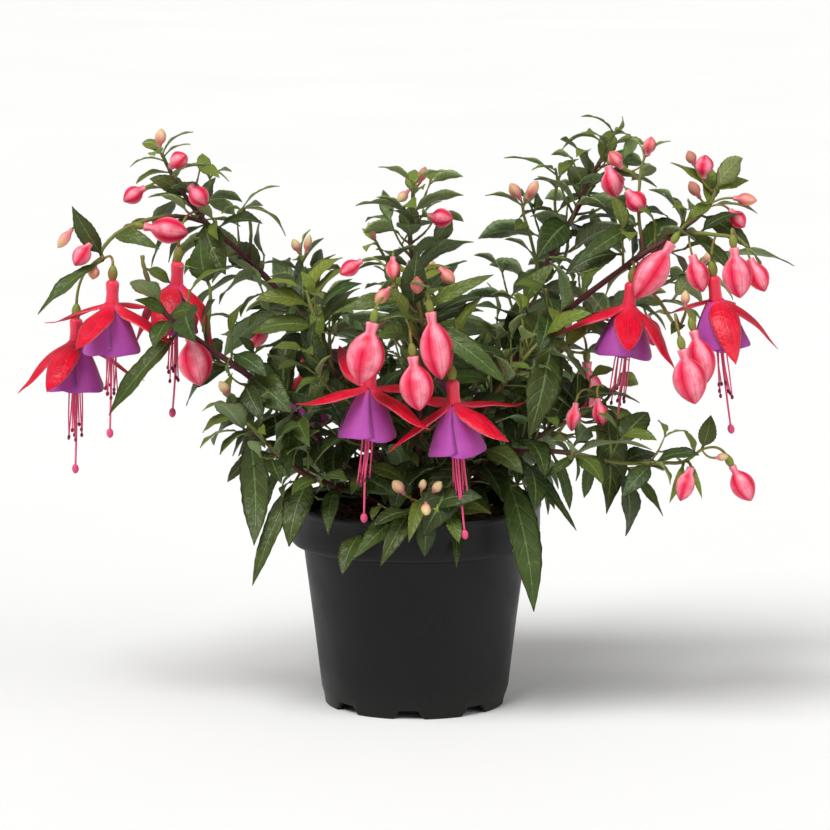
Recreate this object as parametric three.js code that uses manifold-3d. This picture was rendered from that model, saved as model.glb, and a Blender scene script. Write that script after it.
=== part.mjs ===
// A fuchsia in flower, growing in its black nursery pot of 12 cm.
// Millimetres, +Z up. The origin is on the floor under the pot's axis, and -Y is the plant's best side.
// Every leaf, petal and stem is a thin closed solid, and whatever meets a neighbour is cut back from it.
import * as THREE from 'three';
import { mergeVertices } from 'three/addons/utils/BufferGeometryUtils.js';
import Module from 'manifold-3d';

const wasm = await Module();
wasm.setup();

// ---------------------------------------------------------------- driving dimensions

const GAP = 0.3; // clearance between one piece and the next
const KEEP_OFF = 0.45; // how far a piece is swollen before its neighbour is cut back from it

const POT = {
  height: 97,
  rimRadius: 60,
  bandDepth: 20, // the upright band under the rim
  shoulderRadius: 53, // the body just under the band
  footRadius: 43,
  wall: 1.3,
  baseHeight: 4.5, // the raised base plate
  footWidth: 3,
  notches: 8, // gaps in the foot ring that let water out
  notchWidth: 9,
  notchFlare: 3.5, // how much wider a gap is at the floor, on each side
  notchHeight: 4,
  notchTurn: -4, // degrees that the front gap stands left of the middle
  drainHoles: 4,
  drainHoleRadius: 3.5,
  drainRing: 30,
  sides: 32,
};

const COMPOST = { edgeHeight: 86, crownHeight: 88.2, socketRadius: 6.4, socketFloor: 76 };
const CROWN = { radius: 6, floor: 76.3, top: 97 };

const STEM_SIDES = 5;
const PEDICEL_RADIUS = 0.7;
const LEAF_THICKNESS = 1.1;
const LEAF_WIDTH_SHARE = 0.42; // a leaf's width as a share of its length
const FORK_ANGLE = 62; // degrees between a leaf and the stem ahead of it

const FLOWER = {
  ovaryLength: 7,
  ovaryRadius: 2.2,
  tubeLength: 11,
  tubeRadius: 3,
  sepalLength: 36,
  sepalWidth: 13,
  sepalThickness: 1.2,
  sepalDroop: 12, // degrees by which a sepal starts higher and ends lower than its lift
  sepalSpread: 70, // the least that a sepal starts out from the axis, so that it clears the corolla
  corollaLength: 24,
  corollaRadius: 14,
  corollaSides: 9,
  throatRadius: 1.9, // the hole that the stamens come out of
  stamens: 8,
  stamenReach: 22, // beyond the corolla's hem
  stamenSpread: 5,
  pistilReach: 38,
  filamentRadius: 0.5,
  antherRadius: 0.95,
  stigmaRadius: 1.5,
};

// The outline of a bud as [share of its radius, share of its length], from the tube's top to its shoulder.
const BUD_OUTLINE = [[0.34, 0], [0.3, 0.17], [0.86, 0.35], [1, 0.55], [0.62, 0.83]];
const SMALL_BUD_OUTLINE = [[0.3, 0.08], [1, 0.5]];
const LEAF_SPACING = 7.5; // leaves whose middles come closer than this are left out
// Slivers this fine are merged away: the first that works is used.
const SMOOTHING = [0.15, 0.1, 0.2, 0.06, 0.25, 0.03, 0.01];
const MERGES = [1e-4, 3e-4, 1e-3]; // vertices closer than these may be merged by whoever reads the meshes

// ---------------------------------------------------------------- the plant's plan
// A route is a stem's line from its foot to its tip. Leaves stand on it in crossed pairs:
// pairs = [number of pairs, where the first one is, length of the first leaf, length of the last].
// own = leaves with a place of their own: [where along the route, tip, width, rise of the midrib].
// buds = small buds that are part of the branch: [where along the route, top, tip, radius].
// A place along a route counts its points, so 2.5 is halfway from point 2 to point 3.

const BRANCHES = [
  {
    name: 'branch_left_arch', thick: [2.3, 1],
    route: [[0, 0, 89], [-19, -12, 106], [-36, -22, 122], [-56, -32, 142], [-77, -38, 162],
      [-96, -40, 176], [-112, -40, 188], [-120, -38, 199], [-125, -36, 212], [-126, -35, 218]],
    pairs: [7, 2, 42, 20], turn: 20,
    own: [[4, [-56, -60, 148], 17, 4], [3, [-58, -56, 117], 12, 5], [2.4, [-42, -58, 119], 9, 5],
      [5.7, [-142, -44, 144], 11, 3], [6.2, [-99, -52, 195], 9, 2], [6.3, [-129, -48, 199], 8, 2],
      [6.1, [-120, -54, 177], 11, 2], [8, [-113, -30, 204], 7, 2]],
    twigs: [{
      route: [[-96, -40, 176], [-96, -36, 185], [-95, -33, 193], [-95, -31, 202], [-97, -30, 208]],
      thick: [1.1, 0.8], pairs: [2, 1.6, 22, 15], turn: 70, own: [[3.2, [-99, -34, 225], 13, 3]],
    }],
  },
  {
    name: 'branch_upper_left', thick: [2.2, 0.9],
    route: [[0, 0, 89], [-12, 14, 115], [-32, 24, 152], [-51, 28, 177], [-61, 28, 189],
      [-80, 26, 209], [-99, 20, 227], [-109, 14, 241], [-116, 9, 254], [-119, 7, 261]],
    pairs: [8, 1.4, 46, 18], turn: 75,
    own: [[9, [-104, 10, 271], 4.5, 3], [8.8, [-105, 2, 266], 3.5, 2], [9, [-128, 6, 266], 3.5, 2],
      [8.5, [-134, 4, 255], 3.5, 3], [7.6, [-107, -6, 257], 7.5, 1], [7.8, [-87, 4, 248], 5, 6],
      [8, [-98, 16, 254], 4.5, 1], [6.1, [-89, 2, 204], 15, 4], [6.1, [-83, 30, 224], 5, 2]],
    buds: [[9, [-120, 6, 264], [-119, 6, 273], 3.2], [8, [-115, 4, 255], [-107, 0, 261], 5.5],
      [7.3, [-106, 6, 246], [-98, 2, 237], 6], [7.6, [-127, 6, 245], [-137, 2, 239], 5]],
    twigs: [{
      route: [[-99, 20, 227], [-111, 10, 231], [-123, 0, 231], [-134, -8, 228], [-141, -14, 224],
        [-146, -18, 218], [-145, -20, 214]],
      thick: [1.3, 1], pairs: [2, 1.6, 22, 16], turn: 10,
      own: [[6, [-175, -34, 190], 9, 3], [5.7, [-159, -26, 240], 10, 2], [4, [-118, -30, 220], 8, 6]],
      buds: [[5.5, [-151, -22, 222], [-158, -26, 212], 5.5], [5, [-159, -24, 229], [-166, -24, 220], 3.2],
        [6, [-149, -20, 212], [-150, -22, 205], 3.4]],
    }, {
      route: [[-79, 26, 208], [-78, 24, 222], [-79, 22, 229], [-82, 21, 234]],
      thick: [1, 0.7], pairs: [1, 2, 14, 14], turn: 60,
      own: [[3, [-64, 24, 244], 5, 3], [3, [-61, 14, 221], 6, 5], [2.8, [-92, 20, 231], 6, 2]],
    }, {
      route: [[-59, 28, 188], [-54, 24, 203], [-54, 22, 209]],
      thick: [1, 0.7], pairs: [2, 1, 20, 15], turn: 0,
      buds: [[2, [-55, 22, 212], [-58, 22, 219], 2.6], [2, [-52, 22, 212], [-50, 22, 221], 2.4]],
    }],
  },
  {
    name: 'branch_low_left', thick: [1.7, 0.8],
    route: [[-3, -6, 89], [-17, -20, 99], [-36, -34, 109], [-53, -44, 118], [-65, -50, 129],
      [-75, -52, 140], [-82, -52, 146], [-86, -50, 152]],
    pairs: [6, 1.8, 34, 16], turn: 40,
    own: [[5.3, [-74, -66, 87], 14.5, -6], [3, [-75, -66, 68], 9, 4], [2.7, [-58, -64, 86], 14, 6],
      [3.6, [-71, -40, 96], 6, 3], [2, [-40, -60, 91], 9, 5]],
    buds: [[7, [-85, -52, 155], [-90, -54, 162], 2.8]],
  },
  {
    name: 'branch_left_front', thick: [1.8, 0.8],
    route: [[-2, -8, 90], [-12, -26, 112], [-23, -38, 134], [-31, -44, 152], [-39, -47, 169],
      [-44, -47, 185], [-48, -46, 196], [-50, -45, 203]],
    pairs: [7, 1.2, 42, 20], turn: 15, own: [[4, [-49, -66, 148], 8, 3]],
  },
  {
    name: 'branch_right_arch', thick: [2.4, 1],
    route: [[1, -2, 89], [8, -6, 101], [16, -10, 114], [31, -18, 145], [39, -20, 156], [52, -24, 174],
      [69, -28, 190], [98, -32, 213], [119, -34, 227], [130, -32, 235], [137, -28, 242], [139, -26, 248]],
    pairs: [8, 2.2, 44, 22], turn: 35,
    own: [[9.2, [155, -36, 221], 12, 3], [8.4, [147, -52, 209], 10, 3], [10, [125, -44, 235], 6, 2],
      [10.8, [152, -22, 262], 5, 3], [10.6, [118, -24, 260], 5.5, 3], [10.8, [155, -20, 251], 6, 3]],
    buds: [[10.8, [133, -28, 253], [134, -30, 264], 5.5], [10.6, [129, -30, 259], [126, -30, 266], 3],
      [10, [131, -38, 245], [126, -42, 253], 3.2], [9.6, [147, -30, 244], [158, -32, 243], 3.6],
      [9.4, [145, -34, 239], [152, -36, 231], 4.8]],
    twigs: [{
      route: [[106, -32, 219], [104, -26, 232], [104, -20, 244], [105, -16, 255], [107, -14, 262]],
      thick: [1.1, 0.7], pairs: [3, 1.4, 22, 14], turn: 20, own: [[1, [72, -52, 215], 9, 5]],
      buds: [[2.6, [90, -10, 257], [94, -12, 242], 6.5], [2, [98, -26, 247], [106, -30, 238], 6],
        [4, [108, -14, 262], [110, -14, 271], 4], [3.4, [96, -20, 257], [90, -24, 265], 4]],
    }, {
      route: [[119, -34, 227], [128, -42, 229], [138, -48, 229], [147, -52, 228], [152, -54, 224]],
      thick: [1.2, 0.9], pairs: [2, 1.2, 20, 14], turn: 60,
      buds: [[0.8, [127, -50, 220], [132, -52, 203], 6.4], [4, [153, -56, 219], [160, -58, 204], 6]],
    }, {
      route: [[98, -32, 213], [105, -38, 206], [113, -42, 197], [119, -46, 188], [122, -50, 188],
        [124, -52, 193]],
      thick: [1.1, 0.8], pairs: [1, 4, 16, 14], turn: 10,
      buds: [[5, [124, -52, 196], [124, -52, 204], 2.6]],
    }],
  },
  {
    name: 'branch_upper_right', thick: [2.1, 0.8],
    route: [[-1, 4, 88], [13, 20, 118], [32, 34, 152], [52, 42, 184], [68, 45, 213], [78, 45, 231],
      [83, 44, 244], [88, 42, 253], [92, 40, 261], [95, 38, 268]],
    pairs: [9, 1.4, 46, 18], turn: 50,
    own: [[9, [79, 36, 276], 6, 3], [9, [99, 40, 276], 5, 2], [8, [70, 44, 259], 6, 7]],
    twigs: [{
      route: [[69, 45, 215], [68, 44, 225], [67, 42, 235], [68, 40, 245], [67, 39, 251]],
      thick: [1, 0.7], pairs: [3, 1.4, 24, 14], turn: 30, own: [[3.5, [42, 38, 256], 6, 3]],
    }, {
      route: [[48, 41, 179], [57, 34, 188], [59, 28, 200], [56, 24, 215], [52, 22, 229], [51, 21, 235]],
      thick: [1.1, 0.8], pairs: [4, 1.4, 28, 16], turn: 80,
      buds: [[5, [50, 20, 238], [45, 16, 246], 3.4], [5, [53, 20, 238], [58, 18, 247], 3.4]],
    }],
  },
  {
    name: 'branch_centre', thick: [1.9, 0.8],
    route: [[-1, 6, 88], [-2, 14, 119], [-2, 18, 147], [-1, 18, 175], [1, 16, 197], [-2, 12, 215],
      [-2, 9, 230], [-1, 7, 241], [-1, 6, 248]],
    pairs: [9, 1, 48, 17], turn: 5,
    buds: [[7, [-3, 4, 244], [-8, 0, 239], 2.8], [7.6, [2, 6, 247], [5, 6, 255], 2.8],
      [6, [6, 1, 232], [18, -2, 231], 5.5]],
    twigs: [{
      route: [[0, 17, 186], [-8, 12, 200], [-15, 8, 213], [-18, 6, 219]],
      thick: [1, 0.7], pairs: [2, 1.6, 22, 15], turn: 40, buds: [[3, [-19, 4, 221], [-22, 4, 229], 2.2]],
    }],
  },
  {
    name: 'branch_front', thick: [2, 1],
    route: [[1, -6, 89], [1, -24, 108], [2, -44, 133], [3, -58, 157], [4, -66, 176], [3, -70, 192],
      [1, -70, 203], [1, -69, 210]],
    pairs: [7, 1, 42, 18], turn: 25,
    own: [[5, [42, -86, 165], 11, 6], [5.4, [36, -74, 214], 7, 3], [6, [-38, -76, 196], 8, 5]],
    buds: [[7, [-3, -66, 218], [-3, -70, 211], 2.8], [6.2, [1, -78, 214], [1, -82, 206], 3.8],
      [6, [11, -66, 216], [18, -68, 209], 3.6]],
    twigs: [{
      route: [[4, -67, 178], [-2, -74, 192], [-6, -77, 201], [-9, -77, 208]],
      thick: [1.2, 0.8], pairs: [1, 2.4, 20, 18], turn: 50,
      buds: [[3, [-24, -72, 220], [-34, -74, 214], 4.4], [3, [-10, -74, 222], [-10, -78, 212], 4],
        [2.4, [-11, -82, 209], [-18, -84, 202], 3.6]],
    }],
  },
  {
    name: 'branch_low_front', thick: [1.6, 0.8],
    route: [[-1, -14, 90], [-3, -34, 96], [-1, -50, 103], [2, -60, 107], [5, -64, 110]],
    pairs: [2, 1.4, 22, 14], turn: 10,
    own: [[1.4, [-29, -74, 82], 12, 6], [2.5, [-16, -80, 80], 10, 6], [3.4, [-3, -84, 92], 7, 5]],
    buds: [[3, [-5, -62, 111], [-10, -68, 118], 3.2], [3.6, [3, -66, 113], [4, -70, 119], 2.2],
      [3.8, [8, -66, 112], [12, -70, 118], 2.8], [4, [5, -70, 108], [5, -78, 104], 2.8]],
  },
  {
    name: 'branch_right_spray', thick: [1.6, 0.8],
    route: [[5, -8, 91], [21, -24, 110], [40, -36, 126], [63, -46, 128], [80, -54, 127], [95, -60, 125],
      [113, -66, 126], [123, -68, 127], [131, -70, 133]],
    pairs: [1, 2.2, 22, 18], turn: 0,
    own: [[5, [114, -66, 101], 6, 3], [2.2, [75, -50, 91], 6, 4], [3, [72, -40, 99], 6, 3],
      [3.7, [59, -62, 118], 5, 2], [4, [78, -52, 107], 6, 2], [5.2, [116, -60, 121], 4, 4],
      [8, [135, -70, 149], 8.5, 2], [7.6, [122, -76, 143], 4, 2], [7, [116, -76, 109], 4, 3],
      [7.2, [131, -76, 111], 3, 1]],
    buds: [[7, [126, -72, 125], [121, -76, 110], 5.6], [8, [137, -70, 129], [143, -72, 130], 2.2]],
  },
  {
    name: 'branch_low_right', thick: [1.8, 0.8],
    route: [[3, -8, 90], [17, -20, 102], [35, -30, 117], [51, -36, 129], [65, -38, 138], [77, -38, 144],
      [88, -36, 150], [93, -34, 157]],
    pairs: [6, 1.6, 40, 20], turn: 65,
    own: [[2.3, [55, -58, 54], 15.5, 9], [1, [19, -68, 77], 8, 5], [1.3, [35, -50, 99], 8, 4],
      [6, [88, -62, 101], 18, 6]],
    buds: [[6, [74, -54, 152], [72, -56, 139], 4.4], [6.6, [84, -54, 154], [86, -56, 141], 4.4]],
  },
  {
    name: 'branch_right_front', thick: [1.8, 0.8],
    route: [[3, -10, 90], [13, -30, 112], [24, -42, 134], [35, -48, 152], [47, -50, 168], [58, -48, 180],
      [65, -44, 186]],
    pairs: [7, 1, 44, 24], turn: 30, own: [[5.8, [52, -62, 136], 17, 5]],
  },
  {
    name: 'branch_back_left', thick: [1.9, 0.8],
    route: [[-3, 8, 88], [-17, 34, 112], [-33, 52, 138], [-48, 64, 160], [-60, 71, 174], [-68, 72, 183]],
    pairs: [6, 1, 44, 18], turn: 20,
    buds: [[4.6, [-72, 68, 174], [-80, 66, 160], 6], [5, [-68, 76, 186], [-66, 82, 192], 2.6]],
  },
  {
    name: 'branch_back_right', thick: [2, 0.8],
    route: [[3, 8, 88], [21, 38, 110], [45, 56, 135], [71, 64, 159],
           [98, 66, 179], [122, 62, 193], [136, 58, 199]],
    pairs: [7, 1, 46, 22], turn: 55, own: [[6, [183, 44, 203], 15, 8]],
    buds: [[4.4, [112, 56, 178], [116, 54, 163], 6], [6, [139, 56, 203], [144, 54, 209], 2.6]],
  },
  {
    name: 'branch_back_centre', thick: [1.9, 0.8],
    route: [[0, 12, 87], [2, 36, 108], [7, 52, 135], [10, 62, 161], [12, 67, 181], [12, 68, 193]],
    pairs: [6, 1, 44, 18], turn: 5,
    buds: [[4.4, [0, 72, 176], [-6, 72, 161], 6], [5, [10, 71, 197], [6, 73, 203], 2.8]],
  },
  {
    name: 'branch_back_low_left', thick: [1.6, 0.8],
    route: [[-4, 8, 88], [-18, 36, 96], [-32, 58, 104], [-46, 70, 110], [-57, 77, 112]],
    pairs: [5, 1.5, 34, 16], turn: 15,
  },
  {
    name: 'branch_back_low_right', thick: [1.6, 0.8],
    route: [[5, 8, 88], [21, 36, 98], [38, 58, 107], [56, 70, 113], [70, 76, 114]],
    pairs: [5, 1.5, 34, 16], turn: 70,
  },
];

// Open flowers: the stem that carries each one and where, the top of its tube, the middle of its hem,
// and its four sepals as [degrees round from the front, degrees up from the flower's axis].
const FLOWERS = [
  { name: 'flower_left_inner', on: ['branch_upper_left', 0, 5.9],
    top: [-140, -32, 206], hem: [-141, -32, 172],
    sepals: [[-25, 58], [65, 60], [150, 78], [-115, 66]] },
  { name: 'flower_left_outer', on: ['branch_upper_left', 0, 5.6], top: [-159, -8, 185], hem: [-160, -8, 150],
    sepals: [[-72, 43], [-20, 52], [98, 55], [180, 72]] },
  { name: 'flower_centre_left', on: ['branch_front', 0, 1.6], top: [-20, -66, 172], hem: [-22, -66, 139],
    sepals: [[-62, 74], [-155, 110], [55, 62], [125, 85]] },
  { name: 'flower_centre_right', on: ['branch_front', -1, 5.2], top: [17, -70, 165], hem: [20, -70, 125],
    sepals: [[-80, 56], [43, 60], [118, 79], [-150, 88]] },
  { name: 'flower_right_inner', on: ['branch_right_arch', -1, 7.1], top: [100, -40, 206], hem: [96, -40, 172],
    sepals: [[-80, 60], [0, 60], [62, 42], [-150, 66]] },
  { name: 'flower_right_outer', on: ['branch_right_arch', 1, 2], top: [137, -48, 210], hem: [141, -48, 175],
    sepals: [[12, 34], [80, 42], [-138, 74], [170, 70]] },
  { name: 'flower_left_shy', on: ['branch_upper_left', -1, 6.4], top: [-111, -10, 212], hem: [-113, -10, 177],
    fullness: 0.8, sepals: [[-20, 28], [70, 30], [160, 32], [-110, 28]] },
  { name: 'flower_back_left', on: ['branch_back_left', -1, 4.2], top: [-54, 73, 156], hem: [-54, 73, 121],
    sepals: [[-45, 66], [45, 60], [135, 50], [-135, 62]] },
  { name: 'flower_back_centre', on: ['branch_back_centre', -1, 4.8], top: [21, 75, 172], hem: [22, 75, 137],
    sepals: [[-60, 70], [30, 76], [120, 60], [-150, 52]] },
];

// Large buds, each a piece of its own: the stem that carries it and where, its top, its point, its radius.
const BUDS = [
  { name: 'bud_centre_left', on: ['branch_front', 0, 2.5],
    top: [-19, -88, 194], tip: [-25, -88, 166], radius: 8.8 },
  { name: 'bud_centre_right', on: ['branch_front', -1, 6],
    top: [7, -82, 198], tip: [12, -82, 167], radius: 7.6 },
  { name: 'bud_centre_low', on: ['branch_front', 0, 1.2],
    top: [-1, -84, 178], tip: [2, -84, 153], radius: 7.8 },
  { name: 'bud_left_level', on: ['branch_upper_left', 0, 3.4],
    top: [-127, -6, 228], tip: [-106, -8, 225], radius: 6.3 },
  { name: 'bud_left_low', on: ['branch_left_arch', -1, 5.5],
    top: [-104, -46, 183], tip: [-99, -48, 159], radius: 8 },
  { name: 'bud_right_high', on: ['branch_right_arch', -1, 9],
    top: [118, -46, 225], tip: [101, -50, 200], radius: 7.6 },
  { name: 'bud_right_outer', on: ['branch_right_arch', 1, 3],
    top: [145, -64, 225], tip: [148, -66, 202], radius: 7 },
  { name: 'bud_right_low', on: ['branch_right_arch', 2, 3.8],
    top: [121, -82, 181], tip: [127, -84, 156], radius: 7.8 },
  { name: 'bud_right_mid', on: ['branch_right_arch', 2, 4.6],
    top: [127, -64, 187], tip: [133, -68, 163], radius: 6.8 },
  { name: 'bud_spray', on: ['branch_right_spray', -1, 8],
    top: [145, -68, 125], tip: [154, -70, 109], radius: 5.6 },
  { name: 'bud_back_right', on: ['branch_back_right', -1, 3.4],
    top: [84, 70, 153], tip: [85, 71, 127], radius: 7.5 },
];

// ---------------------------------------------------------------- small sums

const vec = (p) => new THREE.Vector3(...p);
const radians = THREE.MathUtils.degToRad;
const UP = new THREE.Vector3(0, 0, 1);

/** The part of `v` square to the unit vector `axis`, made a unit vector. */
function squareTo(v, axis) {
  return v.clone().addScaledVector(axis, -v.dot(axis)).normalize();
}

/** A number from 0 to 1 that looks random and is the same each time for the same two numbers. */
function scatter(row, item) {
  const x = Math.sin(row * 78.233 + item * 12.9898) * 43758.5453;
  return x - Math.floor(x);
}

/** The point, the direction and the radius at a place along a stem, counted in the route's points. */
function stationOn(stem, place) {
  const last = stem.line.length - 1;
  const k = Math.min(Math.floor(place), last - 1);
  const [start, end] = [stem.line[k], stem.line[k + 1]];
  return {
    point: start.clone().lerp(end, place - k),
    along: end.clone().sub(start).normalize(),
    radius: THREE.MathUtils.lerp(stem.thick[0], stem.thick[1], place / last),
  };
}

/** A point of the quadratic curve from `a` to `c` with `b` as its control point. */
function bend(a, b, c, s) {
  return a.clone().multiplyScalar((1 - s) ** 2).addScaledVector(b, 2 * s * (1 - s)).addScaledVector(c, s * s);
}

// ---------------------------------------------------------------- closed shapes and solids

/** A closed shape through rings of points. A ring of one point ends the shape in a tip. */
function loft(rings) {
  const points = rings.flat();
  const index = [];
  let start = 0;
  for (let k = 0; k + 1 < rings.length; k += 1) {
    const [here, next] = [rings[k].length, rings[k + 1].length];
    const sides = Math.max(here, next);
    for (let i = 0; i < sides; i += 1) {
      const j = (i + 1) % sides;
      if (here > 1) index.push(start + i, start + j, start + here + (next > 1 ? i : 0));
      if (next > 1) index.push(here > 1 ? start + j : start, start + here + j, start + here + i);
    }
    start += here;
  }
  for (const [first, count, flip] of [[0, rings[0].length, true], [start, rings.at(-1).length, false]]) {
    for (let i = 1; i + 1 < count; i += 1) {
      index.push(first, first + (flip ? i + 1 : i), first + (flip ? i : i + 1));
    }
  }
  const volume = index.reduce((sum, _, i) => (i % 3 ? sum
    : sum + points[index[i]].dot(
        new THREE.Vector3().crossVectors(points[index[i + 1]], points[index[i + 2]]))), 0);
  const geometry = new THREE.BufferGeometry().setFromPoints(points);
  geometry.setIndex(volume < 0 ? index.reverse() : index);
  return geometry;
}

/** A round rod through stations of [point, radius], ending flat, or in a tip where the radius is 0. */
function rod(stations, sides) {
  let across = null;
  return loft(stations.map(([point, radius], k) => {
    if (radius === 0) return [point];
    const next = stations[Math.min(k + 1, stations.length - 1)][0];
    const along = next.clone().sub(stations[Math.max(k - 1, 0)][0]).normalize();
    across = squareTo(across ?? (Math.abs(along.z) > 0.9 ? new THREE.Vector3(1, 0, 0) : UP), along);
    const beside = new THREE.Vector3().crossVectors(along, across);
    return Array.from({ length: sides }, (_, i) => {
      const angle = (i / sides) * 2 * Math.PI;
      return point.clone().addScaledVector(across, radius * Math.cos(angle))
        .addScaledVector(beside, radius * Math.sin(angle));
    });
  }));
}

/** The corners of a blade's section: two edges and a ridge, or the same swollen on every side. */
function bladeSection(centre, across, over, reach, ridge, swell) {
  const corner = (x, y) => centre.clone().addScaledVector(across, x).addScaledVector(over, y);
  const [x, y] = [reach + swell, ridge + swell];
  return swell ? [corner(x, -swell), corner(x, swell), corner(0, y), corner(-x, swell), corner(-x, -swell)]
    : [corner(x, 0), corner(0, y), corner(-x, 0)];
}

/** A turned shape: a lathe profile of [radius, height] carried to `top`, with its height along `along`. */
function turned(profile, sides, top = new THREE.Vector3(), along = UP) {
  const shape = new THREE.LatheGeometry(profile.map(([r, z]) => new THREE.Vector2(r, z)), sides);
  const turn = new THREE.Quaternion().setFromUnitVectors(new THREE.Vector3(0, 1, 0), along);
  return shape.applyQuaternion(turn).translate(top.x, top.y, top.z);
}

/** A closed shape as a solid that can be cut and joined. */
function solid(geometry) {
  const bare = geometry.clone();
  bare.deleteAttribute('normal');
  bare.deleteAttribute('uv');
  const merged = mergeVertices(bare, 1e-4);
  const kept = [];
  const index = merged.index.array;
  for (let i = 0; i < index.length; i += 3) {
    const [a, b, c] = index.slice(i, i + 3);
    if (a !== b && b !== c && c !== a) kept.push(a, b, c);
  }
  return new wasm.Manifold(new wasm.Mesh({
    numProp: 3,
    vertProperties: Float32Array.from(merged.attributes.position.array),
    triVerts: Uint32Array.from(kept),
  }));
}

const joined = (solids) => wasm.Manifold.union(solids);

/** The largest of the bodies that a solid falls into. */
function largest(whole) {
  return whole.decompose().reduce((best, next) => (next.volume() > best.volume() ? next : best));
}

/** A solid back as a geometry. */
function geometryOf(whole) {
  const { vertProperties, triVerts } = whole.getMesh();
  const geometry = new THREE.BufferGeometry();
  geometry.setAttribute('position', new THREE.BufferAttribute(Float32Array.from(vertProperties), 3));
  geometry.setIndex(new THREE.BufferAttribute(Uint32Array.from(triVerts), 1));
  return geometry;
}

/** Whether each edge of a solid still joins two faces once vertices closer than `tolerance` are merged. */
function isClosed(whole, tolerance) {
  const index = mergeVertices(geometryOf(whole), tolerance).index.array;
  const uses = new Map();
  for (let i = 0; i < index.length; i += 3) {
    const corners = index.slice(i, i + 3);
    if (new Set(corners).size < 3) continue;
    corners.forEach((from, k) => {
      const edge = [from, corners[(k + 1) % 3]].sort().join();
      uses.set(edge, (uses.get(edge) ?? 0) + 1);
    });
  }
  return [...uses.values()].every((count) => count === 2);
}

/** The largest body of a solid, with its slivers merged away so that it stays one closed surface. */
function cleaned(whole) {
  for (const fineness of SMOOTHING) {
    const body = largest(whole.asOriginal().simplify(fineness));
    if (MERGES.every((tolerance) => isClosed(body, tolerance))) return body;
  }
  throw new Error('no smoothing leaves this solid closed');
}

// ---------------------------------------------------------------- the pot and what fills it

/** The pot: body, band with its undercut lip, beaded rim, raised base, notched foot and drain holes. */
function nurseryPot() {
  const { height, rimRadius, bandDepth, shoulderRadius, footRadius, wall, baseHeight, footWidth } = POT;
  const band = height - bandDepth;
  const profile = [
    [0, baseHeight], [footRadius - footWidth, baseHeight], [footRadius - footWidth, 0], [footRadius - 0.4, 0],
    [footRadius + 1.4, 7], [shoulderRadius, band - 1], [shoulderRadius + 4, band - 0.5],
    [rimRadius - 0.8, band + 3], [rimRadius - 0.6, height - 3],
    [rimRadius, height - 1.6], [rimRadius - 0.7, height],
    [rimRadius - wall - 1.2, height - 0.4], [rimRadius - wall - 1.2, band + 6],
    [shoulderRadius - wall, band - 2], [footRadius + 0.4 - wall, baseHeight + wall], [0, baseHeight + wall],
  ];
  let pot = solid(turned(profile, POT.sides));
  const [half, flare, tall] = [POT.notchWidth / 2, POT.notchFlare, POT.notchHeight];
  for (let k = 0; k < POT.notches; k += 1) {
    const outline = new THREE.Shape([[-half - flare, -1], [half + flare, -1], [half, tall], [-half, tall]]
      .map(([x, y]) => new THREE.Vector2(x, y)));
    const cutter = new THREE.ExtrudeGeometry(outline, { depth: 14, bevelEnabled: false })
      .rotateX(Math.PI / 2).translate(0, -footRadius + 7, 0)
      .rotateZ(radians(POT.notchTurn + (360 / POT.notches) * k));
    pot = pot.subtract(solid(cutter));
  }
  for (let k = 0; k < POT.drainHoles; k += 1) {
    const angle = radians(POT.notchTurn - 90 + (360 / POT.drainHoles) * (k + 0.5));
    const hole = new THREE.CylinderGeometry(POT.drainHoleRadius, POT.drainHoleRadius, 6, 8)
      .rotateX(Math.PI / 2)
      .translate(POT.drainRing * Math.cos(angle), POT.drainRing * Math.sin(angle), baseHeight);
    pot = pot.subtract(solid(hole));
  }
  return pot;
}

/** The compost: it fills the pot to a finger's width below the rim, with a socket for the crown. */
function compost() {
  const { rimRadius, shoulderRadius, footRadius, wall, baseHeight, height, bandDepth } = POT;
  const band = height - bandDepth;
  const inside = (radius) => radius - wall - GAP;
  return solid(turned([
    [0, baseHeight + wall + GAP], [inside(footRadius + 0.2), baseHeight + wall + GAP],
    [inside(shoulderRadius), band - 2.1],
    [inside(rimRadius - 1.4), band + 5.8], [inside(rimRadius - 1.4), COMPOST.edgeHeight],
    [30, COMPOST.edgeHeight + 1.2], [COMPOST.socketRadius, COMPOST.crownHeight],
    [COMPOST.socketRadius, COMPOST.socketFloor], [0, COMPOST.socketFloor],
  ], POT.sides));
}

/** The woody crown that all the branches spring from. */
function crown(swell = 0) {
  const { radius, floor, top } = CROWN;
  return solid(turned([[0, floor - swell], [radius - 1 + swell, floor - swell], [radius + swell, floor + 4],
    [radius + swell, top - 8], [radius * 0.7 + swell, top - 2], [0, top + swell]], 12));
}

/** The room that the pot and the compost take up, filled in, so that nothing grows into them. */
function potRoom() {
  const { rimRadius, height, footRadius } = POT;
  return solid(turned([[0, -1], [footRadius + GAP, -1], [rimRadius + GAP, height - 20],
    [rimRadius + GAP, height + GAP], [rimRadius - 3, height + GAP],
    [rimRadius - 3, COMPOST.edgeHeight + GAP], [30, COMPOST.edgeHeight + 1.2 + GAP],
    [COMPOST.socketRadius, COMPOST.crownHeight + GAP], [0, COMPOST.crownHeight + GAP]], POT.sides));
}

// ---------------------------------------------------------------- stems, leaves and buds

/** A stem as a rod along its route. */
function stemShape(stem, swell = 0) {
  const last = stem.line.length - 1;
  const [foot, end] = stem.thick;
  const radiusAt = (k) => THREE.MathUtils.lerp(foot, end, k / last) + swell;
  return solid(rod(stem.line.map((point, k) => [point, radiusAt(k)]), STEM_SIDES));
}

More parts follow.
